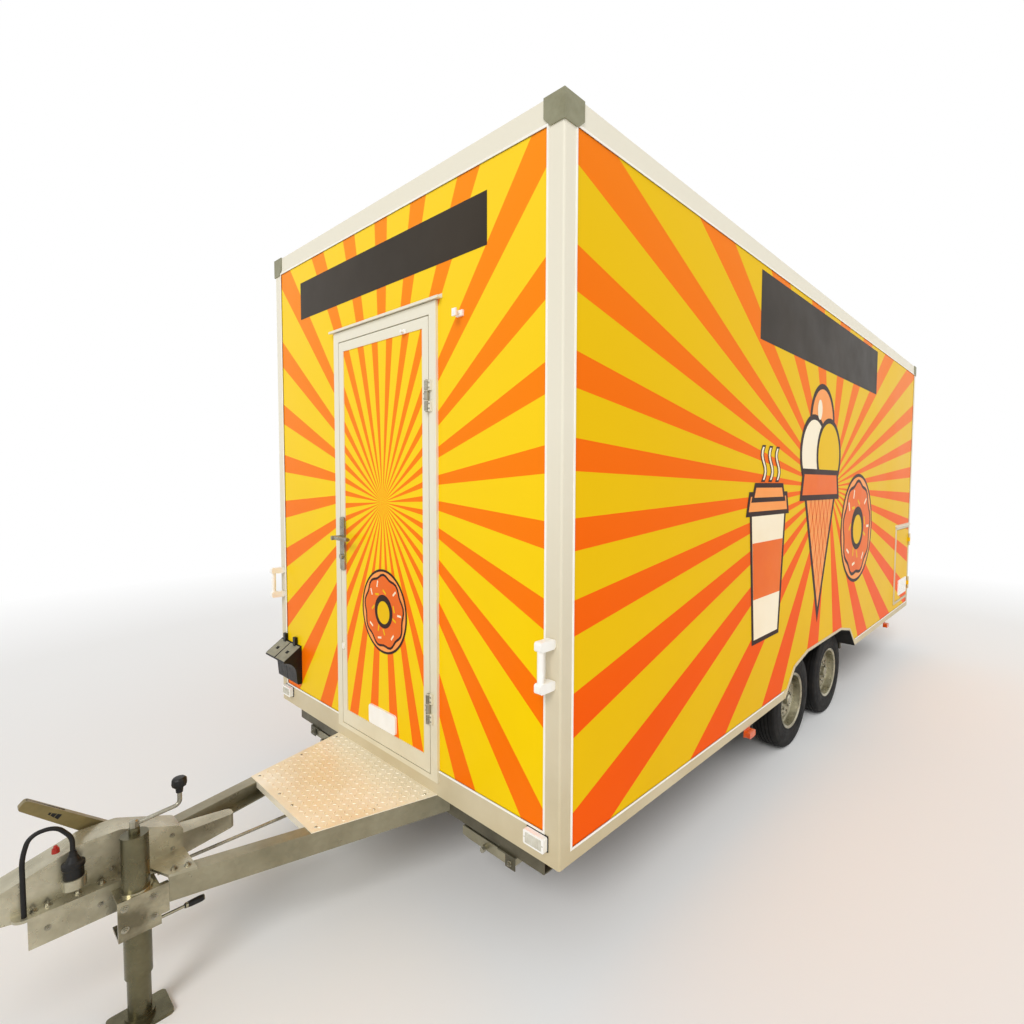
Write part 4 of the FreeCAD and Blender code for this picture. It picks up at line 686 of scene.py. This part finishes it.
def buildTread(settings):
    low, high = corners("step_deck")
    work = bmesh.new()
    pitch = settings["pitch"]
    rows = int((high.x - low.x) / pitch)
    wide = int((high.y - low.y) / pitch)
    for i in range(rows):
        for j in range(wide + 1):
            x = low.x + pitch * (i + 0.6)
            y = low.y + pitch * (j + 0.5)
            if abs(y) > armAt(x - low.x, settings["side"]) or x > high.x - settings["end"]:
                continue
            lean = math.radians(45 if (i + j) % 2 else -45)
            along = Vector((math.cos(lean), math.sin(lean), 0)) * settings["length"] / 2
            across = Vector((-math.sin(lean), math.cos(lean), 0)) * settings["width"] / 2
            spot = Vector((x, y, high.z))
            ring = []
            for step in range(8):
                turn = 2 * math.pi * step / 8
                fuller = 1.15 - 0.15 * abs(math.cos(turn)) ** 0.6
                ring.append(work.verts.new(spot + along * math.cos(turn) + across * math.sin(turn) * fuller))
            rise = Vector((0, 0, settings["height"]))
            crown = [work.verts.new(spot + (v.co - spot) * 0.45 + rise) for v in ring]
            for step in range(8):
                nextOne = (step + 1) % 8
                work.faces.new((ring[step], ring[nextOne], crown[nextOne], crown[step]))
            work.faces.new(crown)
    return finishMesh(work, "deck_tread", "plateCream", trailer, smooth=True)


buildTread(tread)
print("deck treaded")


# Wheels: tyres with grooves and blocks, rims with bolts and a valve
tyre = {"radius": 0.297, "shoulder": 0.063, "grooveDepth": 0.0065, "crown": 0.0022,
        "grooves": (-0.036, -0.012, 0.012, 0.036), "grooveWidth": 0.0065, "blocks": 64,
        "side": ((0.066, 0.166), (0.0705, 0.172), (0.0725, 0.181), (0.0728, 0.190), (0.0760, 0.196),
                 (0.0775, 0.206), (0.0770, 0.208), (0.0790, 0.214), (0.0795, 0.226), (0.0795, 0.240),
                 (0.0788, 0.250), (0.0776, 0.252), (0.0772, 0.254), (0.0764, 0.264), (0.0744, 0.276),
                 (0.0715, 0.285), (0.0670, 0.2915)),
        # cross cuts: from how far below the crown, from how far off the middle, and how deep
        "shoulderCut": (0.009, 0.041, 0.0042), "ribCut": (0.003, 0.014, 0.002)}


def tyreOutline(settings):
    radius, deep, side = settings["radius"], settings["grooveDepth"], settings["side"]
    tops = [(-settings["shoulder"], radius - settings["crown"])]
    for middle in settings["grooves"]:
        half = settings["grooveWidth"] / 2
        crown = radius - settings["crown"] * (middle / settings["shoulder"]) ** 2
        tops += [(middle - half, crown), (middle - half * 0.6, crown - deep), (middle + half * 0.6, crown - deep),
                 (middle + half, crown)]
    tops.append((settings["shoulder"], radius - settings["crown"]))
    return [(-a, r) for a, r in side] + tops + [(a, r) for a, r in reversed(side)]


def buildTyre(node, body, settings):
    low, high = corners(node)
    centre = (low + high) / 2
    work = bmesh.new()
    steps = settings["blocks"] * 2
    outline, radius = tyreOutline(settings), settings["radius"]
    rings = addLathe(work, outline, centre, "Y", steps)
    # every other step of the shoulder and rib tops sinks a little
    (belowEdge, outEdge, deepEdge), (belowRib, outRib, deepRib) = settings["shoulderCut"], settings["ribCut"]
    for step, ring in enumerate(rings):
        if step % 2:
            continue
        for index, (along, away) in enumerate(outline):
            if away > radius - belowEdge and abs(along) > outEdge:
                push = deepEdge
            elif away > radius - belowRib and abs(along) > outRib and step % 4 == 0:
                push = deepRib
            else:
                continue
            vert = ring[index]
            out = Vector((vert.co.x - centre.x, 0, vert.co.z - centre.z)).normalized()
            vert.co -= out * push
    piece = finishMesh(work, node + "_dressed", "tyreRubber", body, smooth=True)
    piece.data.set_sharp_from_angle(angle=math.radians(26))
    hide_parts(node)


wheelNames = [name for name in frame["bodies"] if name.startswith("wheel_")]
for body in wheelNames:
    buildTyre(body.replace("wheel", "tyre"), body, tyre)

wheelTrim = {
    "boltCircle": 0.0645, "bolts": 5, "boltSeat": 0.0255, "valveAt": 0.137, "valveSeat": 0.016, "valveLean": 0.6,
    # out from, out to, radius, sides, radius at the end
    "bolt": ((0, 0.004, 0.0125, 20, 0.0105), (0.003, 0.0165, 0.0096, 6, 0.0092),
             (0.0165, 0.0185, 0.0085, 12, 0.006)),
    # out and aside from, out and aside to, radius, radius at the end
    "valve": ((0, 0, 0.022, 0.004, 0.0045, 0.0038), (0.020, 0.0036, 0.030, 0.0055, 0.0048, 0.0044)),
}


def dressRim(body, settings):
    side = 1 if body.endswith("left") else -1
    centre = Vector(joints[body + "_spin"]["pos_m"])
    work = bmesh.new()
    outward = Vector((0, side, 0))
    seat = centre + outward * settings["boltSeat"]
    for i in range(settings["bolts"]):
        turn = 2 * math.pi * (i + 0.25) / settings["bolts"]
        spot = seat + Vector((math.cos(turn), 0, math.sin(turn))) * settings["boltCircle"]
        for start, end, radius, sides, radiusEnd in settings["bolt"]:
            addRod(work, spot + outward * start, spot + outward * end, radius, sides, radiusEnd)
    finishMesh(work, body + "_bolts", "zincBright", body, bevel=0.0004, segments=1)
    work = bmesh.new()
    lean = Vector((math.cos(settings["valveLean"]), 0, math.sin(settings["valveLean"])))
    spot = centre + lean * settings["valveAt"] + outward * settings["valveSeat"]
    for start, aside, end, asideEnd, radius, radiusEnd in settings["valve"]:
        addRod(work, spot + outward * start + lean * aside, spot + outward * end + lean * asideEnd, radius, 14,
               radiusEnd)
    finishMesh(work, body + "_valve", "blackPlastic", body, smooth=True)


for body in wheelNames:
    dressRim(body, wheelTrim)
print("wheels dressed")

# Jack: a bent crank with its black knob, a black grip on the clamp's lever, and fixings
jack = {"knobRadius": 0.0215, "knobHeight": 0.050, "bar": 0.0065, "bend": 0.016, "above": 0.010, "elbowIn": 0.017,
        "climb": 0.010, "hubRadius": 0.0125, "hubHeight": 0.020,
        # along the clamp's lever, radius
        "grip": ((0.0, 0.0), (0.0, 0.007), (0.003, 0.0098), (0.012, 0.0108), (0.036, 0.0102), (0.046, 0.0090),
                 (0.055, 0.0072), (0.056, 0.0)), "gripAside": 0.006, "gripUp": 0.009}


def sweepRound(work, route, radius, sides=14):
    # a round bar through points, with a ring of vertices square to it at each
    rings = []
    side = None
    for index, spot in enumerate(route):
        before = route[max(index - 1, 0)]
        after = route[min(index + 1, len(route) - 1)]
        along = (after - before).normalized()
        if side is None:
            side = along.orthogonal().normalized()
        side = (side - along * side.dot(along)).normalized()
        other = along.cross(side)
        rings.append([work.verts.new(spot + (side * math.cos(a) + other * math.sin(a)) * radius)
                      for a in (2 * math.pi * step / sides for step in range(sides))])
    for one, two in zip(rings, rings[1:]):
        for step in range(sides):
            work.faces.new((one[step], one[(step + 1) % sides], two[(step + 1) % sides], two[step]))
    work.faces.new(rings[0][::-1])
    work.faces.new(rings[-1])


def buildCrank(settings):
    low, high = corners("jack_crank")
    hubLow, hubHigh = corners("jack_tube")
    axis = Vector((hubHigh.x + hubLow.x, hubHigh.y + hubLow.y, 0)) / 2
    lift, elbow = hubHigh.z + settings["above"], low.x + settings["elbowIn"]
    bend, arm = settings["bend"], lift + settings["climb"]
    route = [axis + Vector((0, 0, lift - 0.012)), axis + Vector((0, 0, lift - 0.004)),
             axis + Vector((-0.004, 0, lift)), Vector((elbow + bend, axis.y, arm))]
    for i in range(1, 6):
        turn = math.radians(18 * i)
        route.append(Vector((elbow + bend * (1 - math.sin(turn)), axis.y, arm + bend * (1 - math.cos(turn)))))
    route.append(Vector((elbow, axis.y, high.z - settings["knobHeight"] + 0.004)))
    work = bmesh.new()
    sweepRound(work, route, settings["bar"])
    top = hubHigh.z + settings["hubHeight"]
    addRod(work, axis + Vector((0, 0, hubHigh.z + 0.0005)), axis + Vector((0, 0, top)), settings["hubRadius"], 6)
    addRod(work, axis + Vector((0, 0, top)), axis + Vector((0, 0, top + 0.003)), 0.0105, 20, 0.006)
    crank = finishMesh(work, "bent_crank", "zincBright", "jack_handle", smooth=True)
    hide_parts("jack_crank")
    work = bmesh.new()
    foot = high.z - settings["knobHeight"]
    wide = settings["knobRadius"]
    outline = [(foot, 0.0), (foot, 0.0095), (foot + 0.016, 0.0112), (foot + 0.021, wide * 0.88),
               (foot + 0.030, wide), (foot + 0.043, wide * 0.96), (foot + 0.0495, wide * 0.72), (foot + 0.050, 0.0)]
    addLathe(work, outline, (elbow, axis.y, 0), "Z", 10)
    bmesh.ops.remove_doubles(work, verts=work.verts[:], dist=1e-5)
    finishMesh(work, "crank_knob", "blackPlastic", "jack_handle", bevel=0.0008)


buildCrank(jack)

tubeLow, tubeHigh = corners("jack_tube")
clampLow, clampHigh = corners("jack_clamp")
jackX, jackY = (tubeLow.x + tubeHigh.x) / 2, (tubeLow.y + tubeHigh.y) / 2
work = bmesh.new()
addLathe(work, jack["grip"], (clampLow.x, jackY + jack["gripAside"], clampLow.z + jack["gripUp"]), "X", 18)
bmesh.ops.remove_doubles(work, verts=work.verts[:], dist=1e-5)
finishMesh(work, "clamp_grip", "blackPlastic", trailer, smooth=True)

# Bolts of the drawbar: clamp, yoke plates, arm ends, housing and the deck's rivets
fixings = {
    "head": 0.0075, "plateHead": 0.006, "housingHead": 0.0055, "rivet": 0.0055,
    "clamp": ((-0.034, 0.400), (-0.034, 0.335), (0.036, 0.400), (0.036, 0.335)),
    "yoke": (0.955, 1.010, 1.075, 1.105), "yokeAside": 0.060, "yokeSide": (0.965, 1.080), "plateAside": 0.092,
    "armEnds": (0.762, 0.796), "armInset": 0.028, "above": 0.008, "below": 0.040,
    "housing": ((0.775, 0.455), (0.775, 0.500), (0.905, 0.555), (0.930, 0.470), (1.140, 0.430)),
    "housingAside": 0.046, "deck": (0.030, 0.215, 0.405), "deckInset": 0.030, "deckFront": (0.405, 0.060),
}


def fixDrawbar(settings):
    deckTop, head = corners("step_deck")[1].z, settings["head"]
    up = (0, 0, 1)
    work = bmesh.new()
    for x, z in settings["clamp"]:
        addBolt(work, (jackX + x, clampHigh.y, z), (0, 1, 0), head)
    for side in (1, -1):
        for reach in settings["yoke"]:
            spot = (frontX + reach, side * settings["yokeAside"], baseZ + settings["above"])
            addBolt(work, spot, up, head)
        for reach in settings["yokeSide"]:
            spot = (frontX + reach, side * settings["plateAside"], baseZ - settings["below"])
            addBolt(work, spot, (0, side, 0), settings["plateHead"])
        for reach in settings["armEnds"]:
            spot = (frontX + reach, side * armAt(reach, settings["armInset"]), baseZ + settings["above"])
            addBolt(work, spot, up, head)
        for reach, z in settings["housing"]:
            spot = (frontX + reach, side * settings["housingAside"], z)
            addBolt(work, spot, (0, side, 0), settings["housingHead"])
        for reach in settings["deck"]:
            spot = (frontX + reach, side * armAt(reach, settings["deckInset"]), deckTop)
            addRivet(work, spot, up, settings["rivet"])
    reach, aside = settings["deckFront"]
    for y in (-aside, aside):
        addRivet(work, (frontX + reach, y, deckTop), up, settings["rivet"])
    finishMesh(work, "drawbar_bolts", "zincBright", trailer)


fixDrawbar(fixings)

# Handbrake lever: its pivot nut and ribbed grip
lever = {"washer": (0.003, 0.017, 0.015), "nut": (0.009, 0.0105), "ribs": 8, "pitch": 0.0135, "ribLength": 0.0115,
         "back": 0.105, "tipIn": 0.010, "radius": (0.0195, 0.0188), "thinner": 0.0006, "flat": 0.68}


def dressLever(settings):
    low, high = corners("handbrake_lever")
    pivot = Vector(joints["handbrake_pivot"]["pos_m"])
    thick, radius, radiusEnd = settings["washer"]
    end, nut = settings["nut"]
    work = bmesh.new()
    addRod(work, (pivot.x, low.y, pivot.z), (pivot.x, low.y - thick, pivot.z), radius, 20, radiusEnd)
    addRod(work, (pivot.x, low.y - thick, pivot.z), (pivot.x, low.y - end, pivot.z), nut, 6)
    finishMesh(work, "lever_nut", "zincBright", "handbrake")

    work = bmesh.new()
    lean = (Vector((high.x, 0, high.z)) - Vector((pivot.x, 0, pivot.z))).normalized()
    tip = Vector((high.x - settings["tipIn"], (low.y + high.y) / 2, high.z - settings["tipIn"]))
    radius, radiusEnd = settings["radius"]
    for index in range(settings["ribs"]):
        spot = tip - lean * settings["back"] + lean * settings["pitch"] * index
        less = settings["thinner"] * index
        addRod(work, spot, spot + lean * settings["ribLength"], radius - less, 18, radiusEnd - less)
    squash = Matrix.Translation(tip) @ Matrix.Diagonal((1, settings["flat"], 1, 1)) @ Matrix.Translation(-tip)
    bmesh.ops.transform(work, matrix=squash, verts=work.verts[:])
    finishMesh(work, "lever_grip", "blackPlastic", "handbrake", smooth=True)


dressLever(lever)

# Red grease cap on the housing: two rods, each with its foot, top, radius, sides and radius at the top
greaseCap = {"spot": (1.052, 0.030), "rods": ((0.578, 0.592, 0.0095, 16, 0.0085), (0.590, 0.600, 0.006, 12, 0.0045))}
work = bmesh.new()
x, y = frontX + greaseCap["spot"][0], greaseCap["spot"][1]
for foot, top, radius, sides, radiusEnd in greaseCap["rods"]:
    addRod(work, (x, y, foot), (x, y, top), radius, sides, radiusEnd)
finishMesh(work, "grease_cap", "valveRed", trailer, bevel=0.0006)
print("drawbar fixed")


# Corner steadies: the hexagon for the brace, and a pivot bolt through each bracket
steady = {"inset": 0.288, "pivotHeight": 0.312, "hexAcross": 0.0105, "hexLength": 0.012, "hexRoot": 0.002,
          "hexDrop": 0.004, "boltSize": 0.008}


def dressSteadies(settings):
    plates = bmesh.new()
    bracketLow, bracketHigh = corners("steady_brackets")
    for name in ("front_left", "front_right", "tail_left", "tail_right"):
        low, high = corners("steady_" + name)
        ahead = 1 if name.startswith("front") else -1
        tip = high.x if ahead > 0 else low.x
        hexed = bmesh.new()
        middle = ((low.y + high.y) / 2, (low.z + high.z) / 2 - settings["hexDrop"])
        addRod(hexed, (tip - ahead * settings["hexRoot"], *middle),
               (tip + ahead * settings["hexLength"], *middle), settings["hexAcross"], 6)
        finishMesh(hexed, "steady_%s_hex" % name, "zincBright", "steady_%s_leg" % name, bevel=0.0006, segments=1)
        flip = 1 if name.endswith("left") else -1
        face = bracketHigh.x if ahead > 0 else bracketLow.x
        spot = (face, flip * (sideY - settings["inset"]), settings["pivotHeight"])
        addBolt(plates, spot, (ahead, 0, 0), settings["boltSize"])
    finishMesh(plates, "steady_bolts", "zincBright", trailer)


dressSteadies(steady)

# Small fittings of the front wall; pads are near, far, half width and half height
clips = {
    "stay": {"spot": (0.578, 2.311), "pads": ((-skinIn, 0.006, 0.020, 0.011), (0.022, 0.029, 0.012, 0.014)),
             "rod": (0.004, 0.030, 0.009, 16, 0.007)},
    "catch": {"spot": (0.216, 2.300), "pads": ((0.008, 0.014, 0.016, 0.009),), "rod": (0.012, 0.026, 0.006, 14, 0.0075)},
    "latch": {"spot": (-0.333, 0.896), "pads": ((-skinIn, 0.005, 0.011, 0.021),)},
    "latchNose": {"spot": (-0.333, 0.8975), "pads": ((0.004, 0.016, 0.006, 0.0135),)},
}


def buildClips(name, body, chosen):
    work = bmesh.new()
    for one in chosen:
        y, z = clips[one]["spot"]
        for near, far, half, rise in clips[one]["pads"]:
            addPad(work, frontX + near, frontX + far, y, z, half, rise)
        if "rod" in clips[one]:
            start, end, radius, sides, radiusEnd = clips[one]["rod"]
            addRod(work, (frontX + start, y, z), (frontX + end, y, z), radius, sides, radiusEnd)
    finishMesh(work, name, "whitePlastic", body, bevel=0.0012)


buildClips("wall_clips", trailer, ("stay", "latch", "latchNose"))
buildClips("leaf_clip", "front_door", ("catch",))

# Door hinges: bright knuckles over the CAD ones, and their screws
leafRim = {"border": 0.042, "kick": 0.068}
hinges = {"low": 0.290, "highBelowDoor": 0.368, "length": 0.120, "standoff": 0.017, "radius": 0.0096,
          "gap": 0.0015, "besideLeaf": 0.0025, "screwAside": 0.0165, "screwIn": 0.009, "screw": (0.0042, 0.0032),
          "cap": (0.003, 0.0062, 0.0046)}


def dressHinges(settings):
    axis = (frontX + settings["standoff"], panelHigh.y + leafRim["border"] + settings["besideLeaf"])
    third, gap = settings["length"] / 3, settings["gap"]
    fixed, moving = bmesh.new(), bmesh.new()
    doorTop = panelHigh.z + leafRim["border"]
    for low in (baseZ + settings["low"], doorTop - settings["highBelowDoor"]):
        for index, work in enumerate((fixed, moving, fixed)):
            start, end = low + third * index + gap, low + third * (index + 1) - gap
            addRod(work, (*axis, start), (*axis, end), settings["radius"], 22)
            aside = -1 if index == 1 else 1
            screwY = axis[1] + aside * settings["screwAside"]
            for height in (start + settings["screwIn"], end - settings["screwIn"]):
                addRod(work, (axis[0] + 0.0002, screwY, height), (axis[0] + 0.0018, screwY, height),
                       settings["screw"][0], 12, settings["screw"][1])
        thick, radius, radiusEnd = settings["cap"]
        for end, way in ((low, -1), (low + settings["length"], 1)):
            addRod(fixed, (*axis, end), (*axis, end + way * thick), radius, 16, radiusEnd)
    finishMesh(fixed, "hinge_knuckles", "zincBright", trailer, smooth=True)
    finishMesh(moving, "hinge_middles", "zincBright", "front_door", smooth=True)


dressHinges(hinges)

# Rubber seal in the gap round the door
seal = {"gap": 0.005, "thick": 0.0025, "back": 0.018, "deep": 0.012}


def doorSeal(settings):
    gap, thick = settings["gap"], settings["thick"]
    border, kick = leafRim["border"], leafRim["kick"]
    left, right = panelLow.y - border - gap, panelHigh.y + border + gap
    low, high = panelLow.z - kick - gap, panelHigh.z + border + gap
    near, far = frontX - settings["back"], frontX - settings["back"] + settings["deep"]
    work = bmesh.new()
    addBlock(work, (near, left, low), (far, left + thick, high))
    addBlock(work, (near, right - thick, low), (far, right, high))
    addBlock(work, (near, left, low), (far, right, low + thick))
    addBlock(work, (near, left, high - thick), (far, right, high))
    finishMesh(work, "door_seal", "softRubber", trailer)


doorSeal(seal)

# Marker lamps on the front corners: gasket, clear lens with upright ribs, and two screws
marker = {"inset": 0.100, "up": 0.072, "half": 0.0485, "rise": 0.025, "gasket": 0.0022, "ribs": 7,
          "screw": 0.0028}


def dressMarkers(settings):
    gasket, lens = bmesh.new(), bmesh.new()
    face = corners("front_lamps")[1].x
    half, rise, lip = settings["half"], settings["rise"], settings["gasket"]
    for side in (1, -1):
        y, z = side * (sideY - settings["inset"]), baseZ + settings["up"]
        addPad(gasket, frontX, frontX + 0.004, y, z, half + lip, rise + lip)
        addPad(lens, face - 0.001, face + 0.002, y, z, half * 0.78, rise * 0.70)
        for i in range(settings["ribs"]):
            spot = y + half * 0.70 * (2 * i / (settings["ribs"] - 1) - 1)
            addPad(lens, face + 0.0018, face + 0.0032, spot, z, 0.0012, rise * 0.58)
        for i in (-1, 1):
            spot = y + i * half * 0.88
            addRod(lens, (face - 0.0005, spot, z), (face + 0.0012, spot, z), settings["screw"], 12)
    finishMesh(gasket, "marker_gaskets", "softRubber", trailer, bevel=0.001)
    finishMesh(lens, "marker_lenses", "lensClear", trailer, bevel=0.0004, segments=1)


dressMarkers(marker)

# Chocks: tread faces of the black chocks painted grey as a highlight, each with two low ridges, and a black strip of
# painted shade where the slot is
chock = {"width": 0.124, "gap": 0.004, "reach": 0.090, "drop": 0.070, "rim": 0.008,
         "crest": 0.353, "ridges": (0.22, 0.80), "slot": (0.45, 0.60)}


def dressChocks(settings):
    low, crest = corners("wheel_chocks")[0], baseZ + settings["crest"]
    slope = Vector((settings["reach"], 0, -settings["drop"])).normalized()
    raised = Vector((settings["drop"], 0, settings["reach"])).normalized()
    span = math.hypot(settings["reach"], settings["drop"])
    tops, slotShade = bmesh.new(), bmesh.new()

    def plate(work, middle, one, two, half, bottom, top):
        verts = addBlock(work, (one, middle - half, bottom), (two, middle + half, top))
        turn = Matrix((slope, Vector((0, 1, 0)), raised)).transposed().to_4x4()
        bmesh.ops.transform(work, matrix=Matrix.Translation((frontX, 0, crest)) @ turn, verts=verts)

    for index in range(2):
        middle = low.y + settings["width"] / 2 + (settings["width"] + settings["gap"]) * index
        half = settings["width"] / 2 - settings["rim"] * 0.5
        plate(tops, middle, settings["rim"], span - 0.004, half, -0.0005, 0.0012)
        for ridge in settings["ridges"]:
            plate(tops, middle, span * ridge - 0.0015, span * ridge + 0.0015, half * 0.92, 0.001, 0.0024)
        start, end = settings["slot"]
        # the slot is a black strip laid on the tread face: painted shade
        plate(slotShade, middle, span * start, span * end, half * 0.26, 0.0008, 0.0016)
    finishMesh(tops, "chock_treads", "chockGrey", trailer, bevel=0.0004, segments=1)
    finishMesh(slotShade, "chock_slot_shade", "archBlack", trailer)


dressChocks(chock)
print("front wall fitted")


# Studio: a pale floor that fades to white, soft lamps
studio = {"floorSize": 120, "fadeFrom": 5.5, "fadeTo": 9.0, "world": 0.60, "key": 1.45, "fill": 0.36}


def buildStudio(settings):
    work = bmesh.new()
    bmesh.ops.create_grid(work, x_segments=1, y_segments=1, size=settings["floorSize"])
    mesh = bpy.data.meshes.new("floor")
    work.to_mesh(mesh)
    work.free()
    floor = bpy.data.objects.new("floor", mesh)
    scene.collection.objects.link(floor)
    material = bpy.data.materials.new("paleFloor")
    material.use_nodes = True
    tree = material.node_tree
    link = tree.links.new
    tree.nodes["Principled BSDF"].inputs["Base Color"].default_value = (0.88, 0.88, 0.87, 1)
    tree.nodes["Principled BSDF"].inputs["Roughness"].default_value = 0.9
    place = addNode(tree, "ShaderNodeTexCoord")
    reach = addNode(tree, "ShaderNodeVectorMath", operation="LENGTH")
    link(place.outputs["Object"], reach.inputs[0])
    fade = remap(tree, reach.outputs["Value"], (settings["fadeFrom"], settings["fadeTo"]))
    glow = addNode(tree, "ShaderNodeEmission")
    glow.inputs["Color"].default_value = (1, 1, 1, 1)
    path = addNode(tree, "ShaderNodeLightPath")
    seen = addNode(tree, "ShaderNodeMath", operation="MULTIPLY")
    link(path.outputs["Is Camera Ray"], seen.inputs[0])
    link(fade, seen.inputs[1])
    mixed = addNode(tree, "ShaderNodeMixShader")
    link(seen.outputs["Value"], mixed.inputs["Fac"])
    link(tree.nodes["Principled BSDF"].outputs["BSDF"], mixed.inputs[1])
    link(glow.outputs["Emission"], mixed.inputs[2])
    link(mixed.outputs["Shader"], tree.nodes["Material Output"].inputs["Surface"])
    mesh.materials.append(material)

    world = bpy.data.worlds.new("softSky")
    scene.world = world
    world.use_nodes = True
    tree = world.node_tree
    link = tree.links.new
    sky = tree.nodes["Background"]
    sky.inputs["Color"].default_value = (1, 1, 1, 1)
    path = addNode(tree, "ShaderNodeLightPath")
    shown = addNode(tree, "ShaderNodeMath", operation="MAXIMUM")
    link(path.outputs["Is Camera Ray"], shown.inputs[0])
    link(path.outputs["Is Glossy Ray"], shown.inputs[1])
    both = addNode(tree, "ShaderNodeMath", operation="MAXIMUM")
    link(shown.outputs["Value"], both.inputs[0])
    link(path.outputs["Is Transmission Ray"], both.inputs[1])
    link(remap(tree, both.outputs["Value"], end=(settings["world"], 1.0)), sky.inputs["Strength"])

    for name, turn, strength, spread in (("keySun", (52, 0, 118), settings["key"], 25),
                                         ("fillSun", (60, 0, 205), settings["fill"], 60)):
        lamp = bpy.data.lights.new(name, "SUN")
        lamp.energy = strength
        lamp.angle = math.radians(spread)
        holder = bpy.data.objects.new(name, lamp)
        holder.rotation_euler = [math.radians(v) for v in turn]
        scene.collection.objects.link(holder)


buildStudio(studio)
print("studio lit")
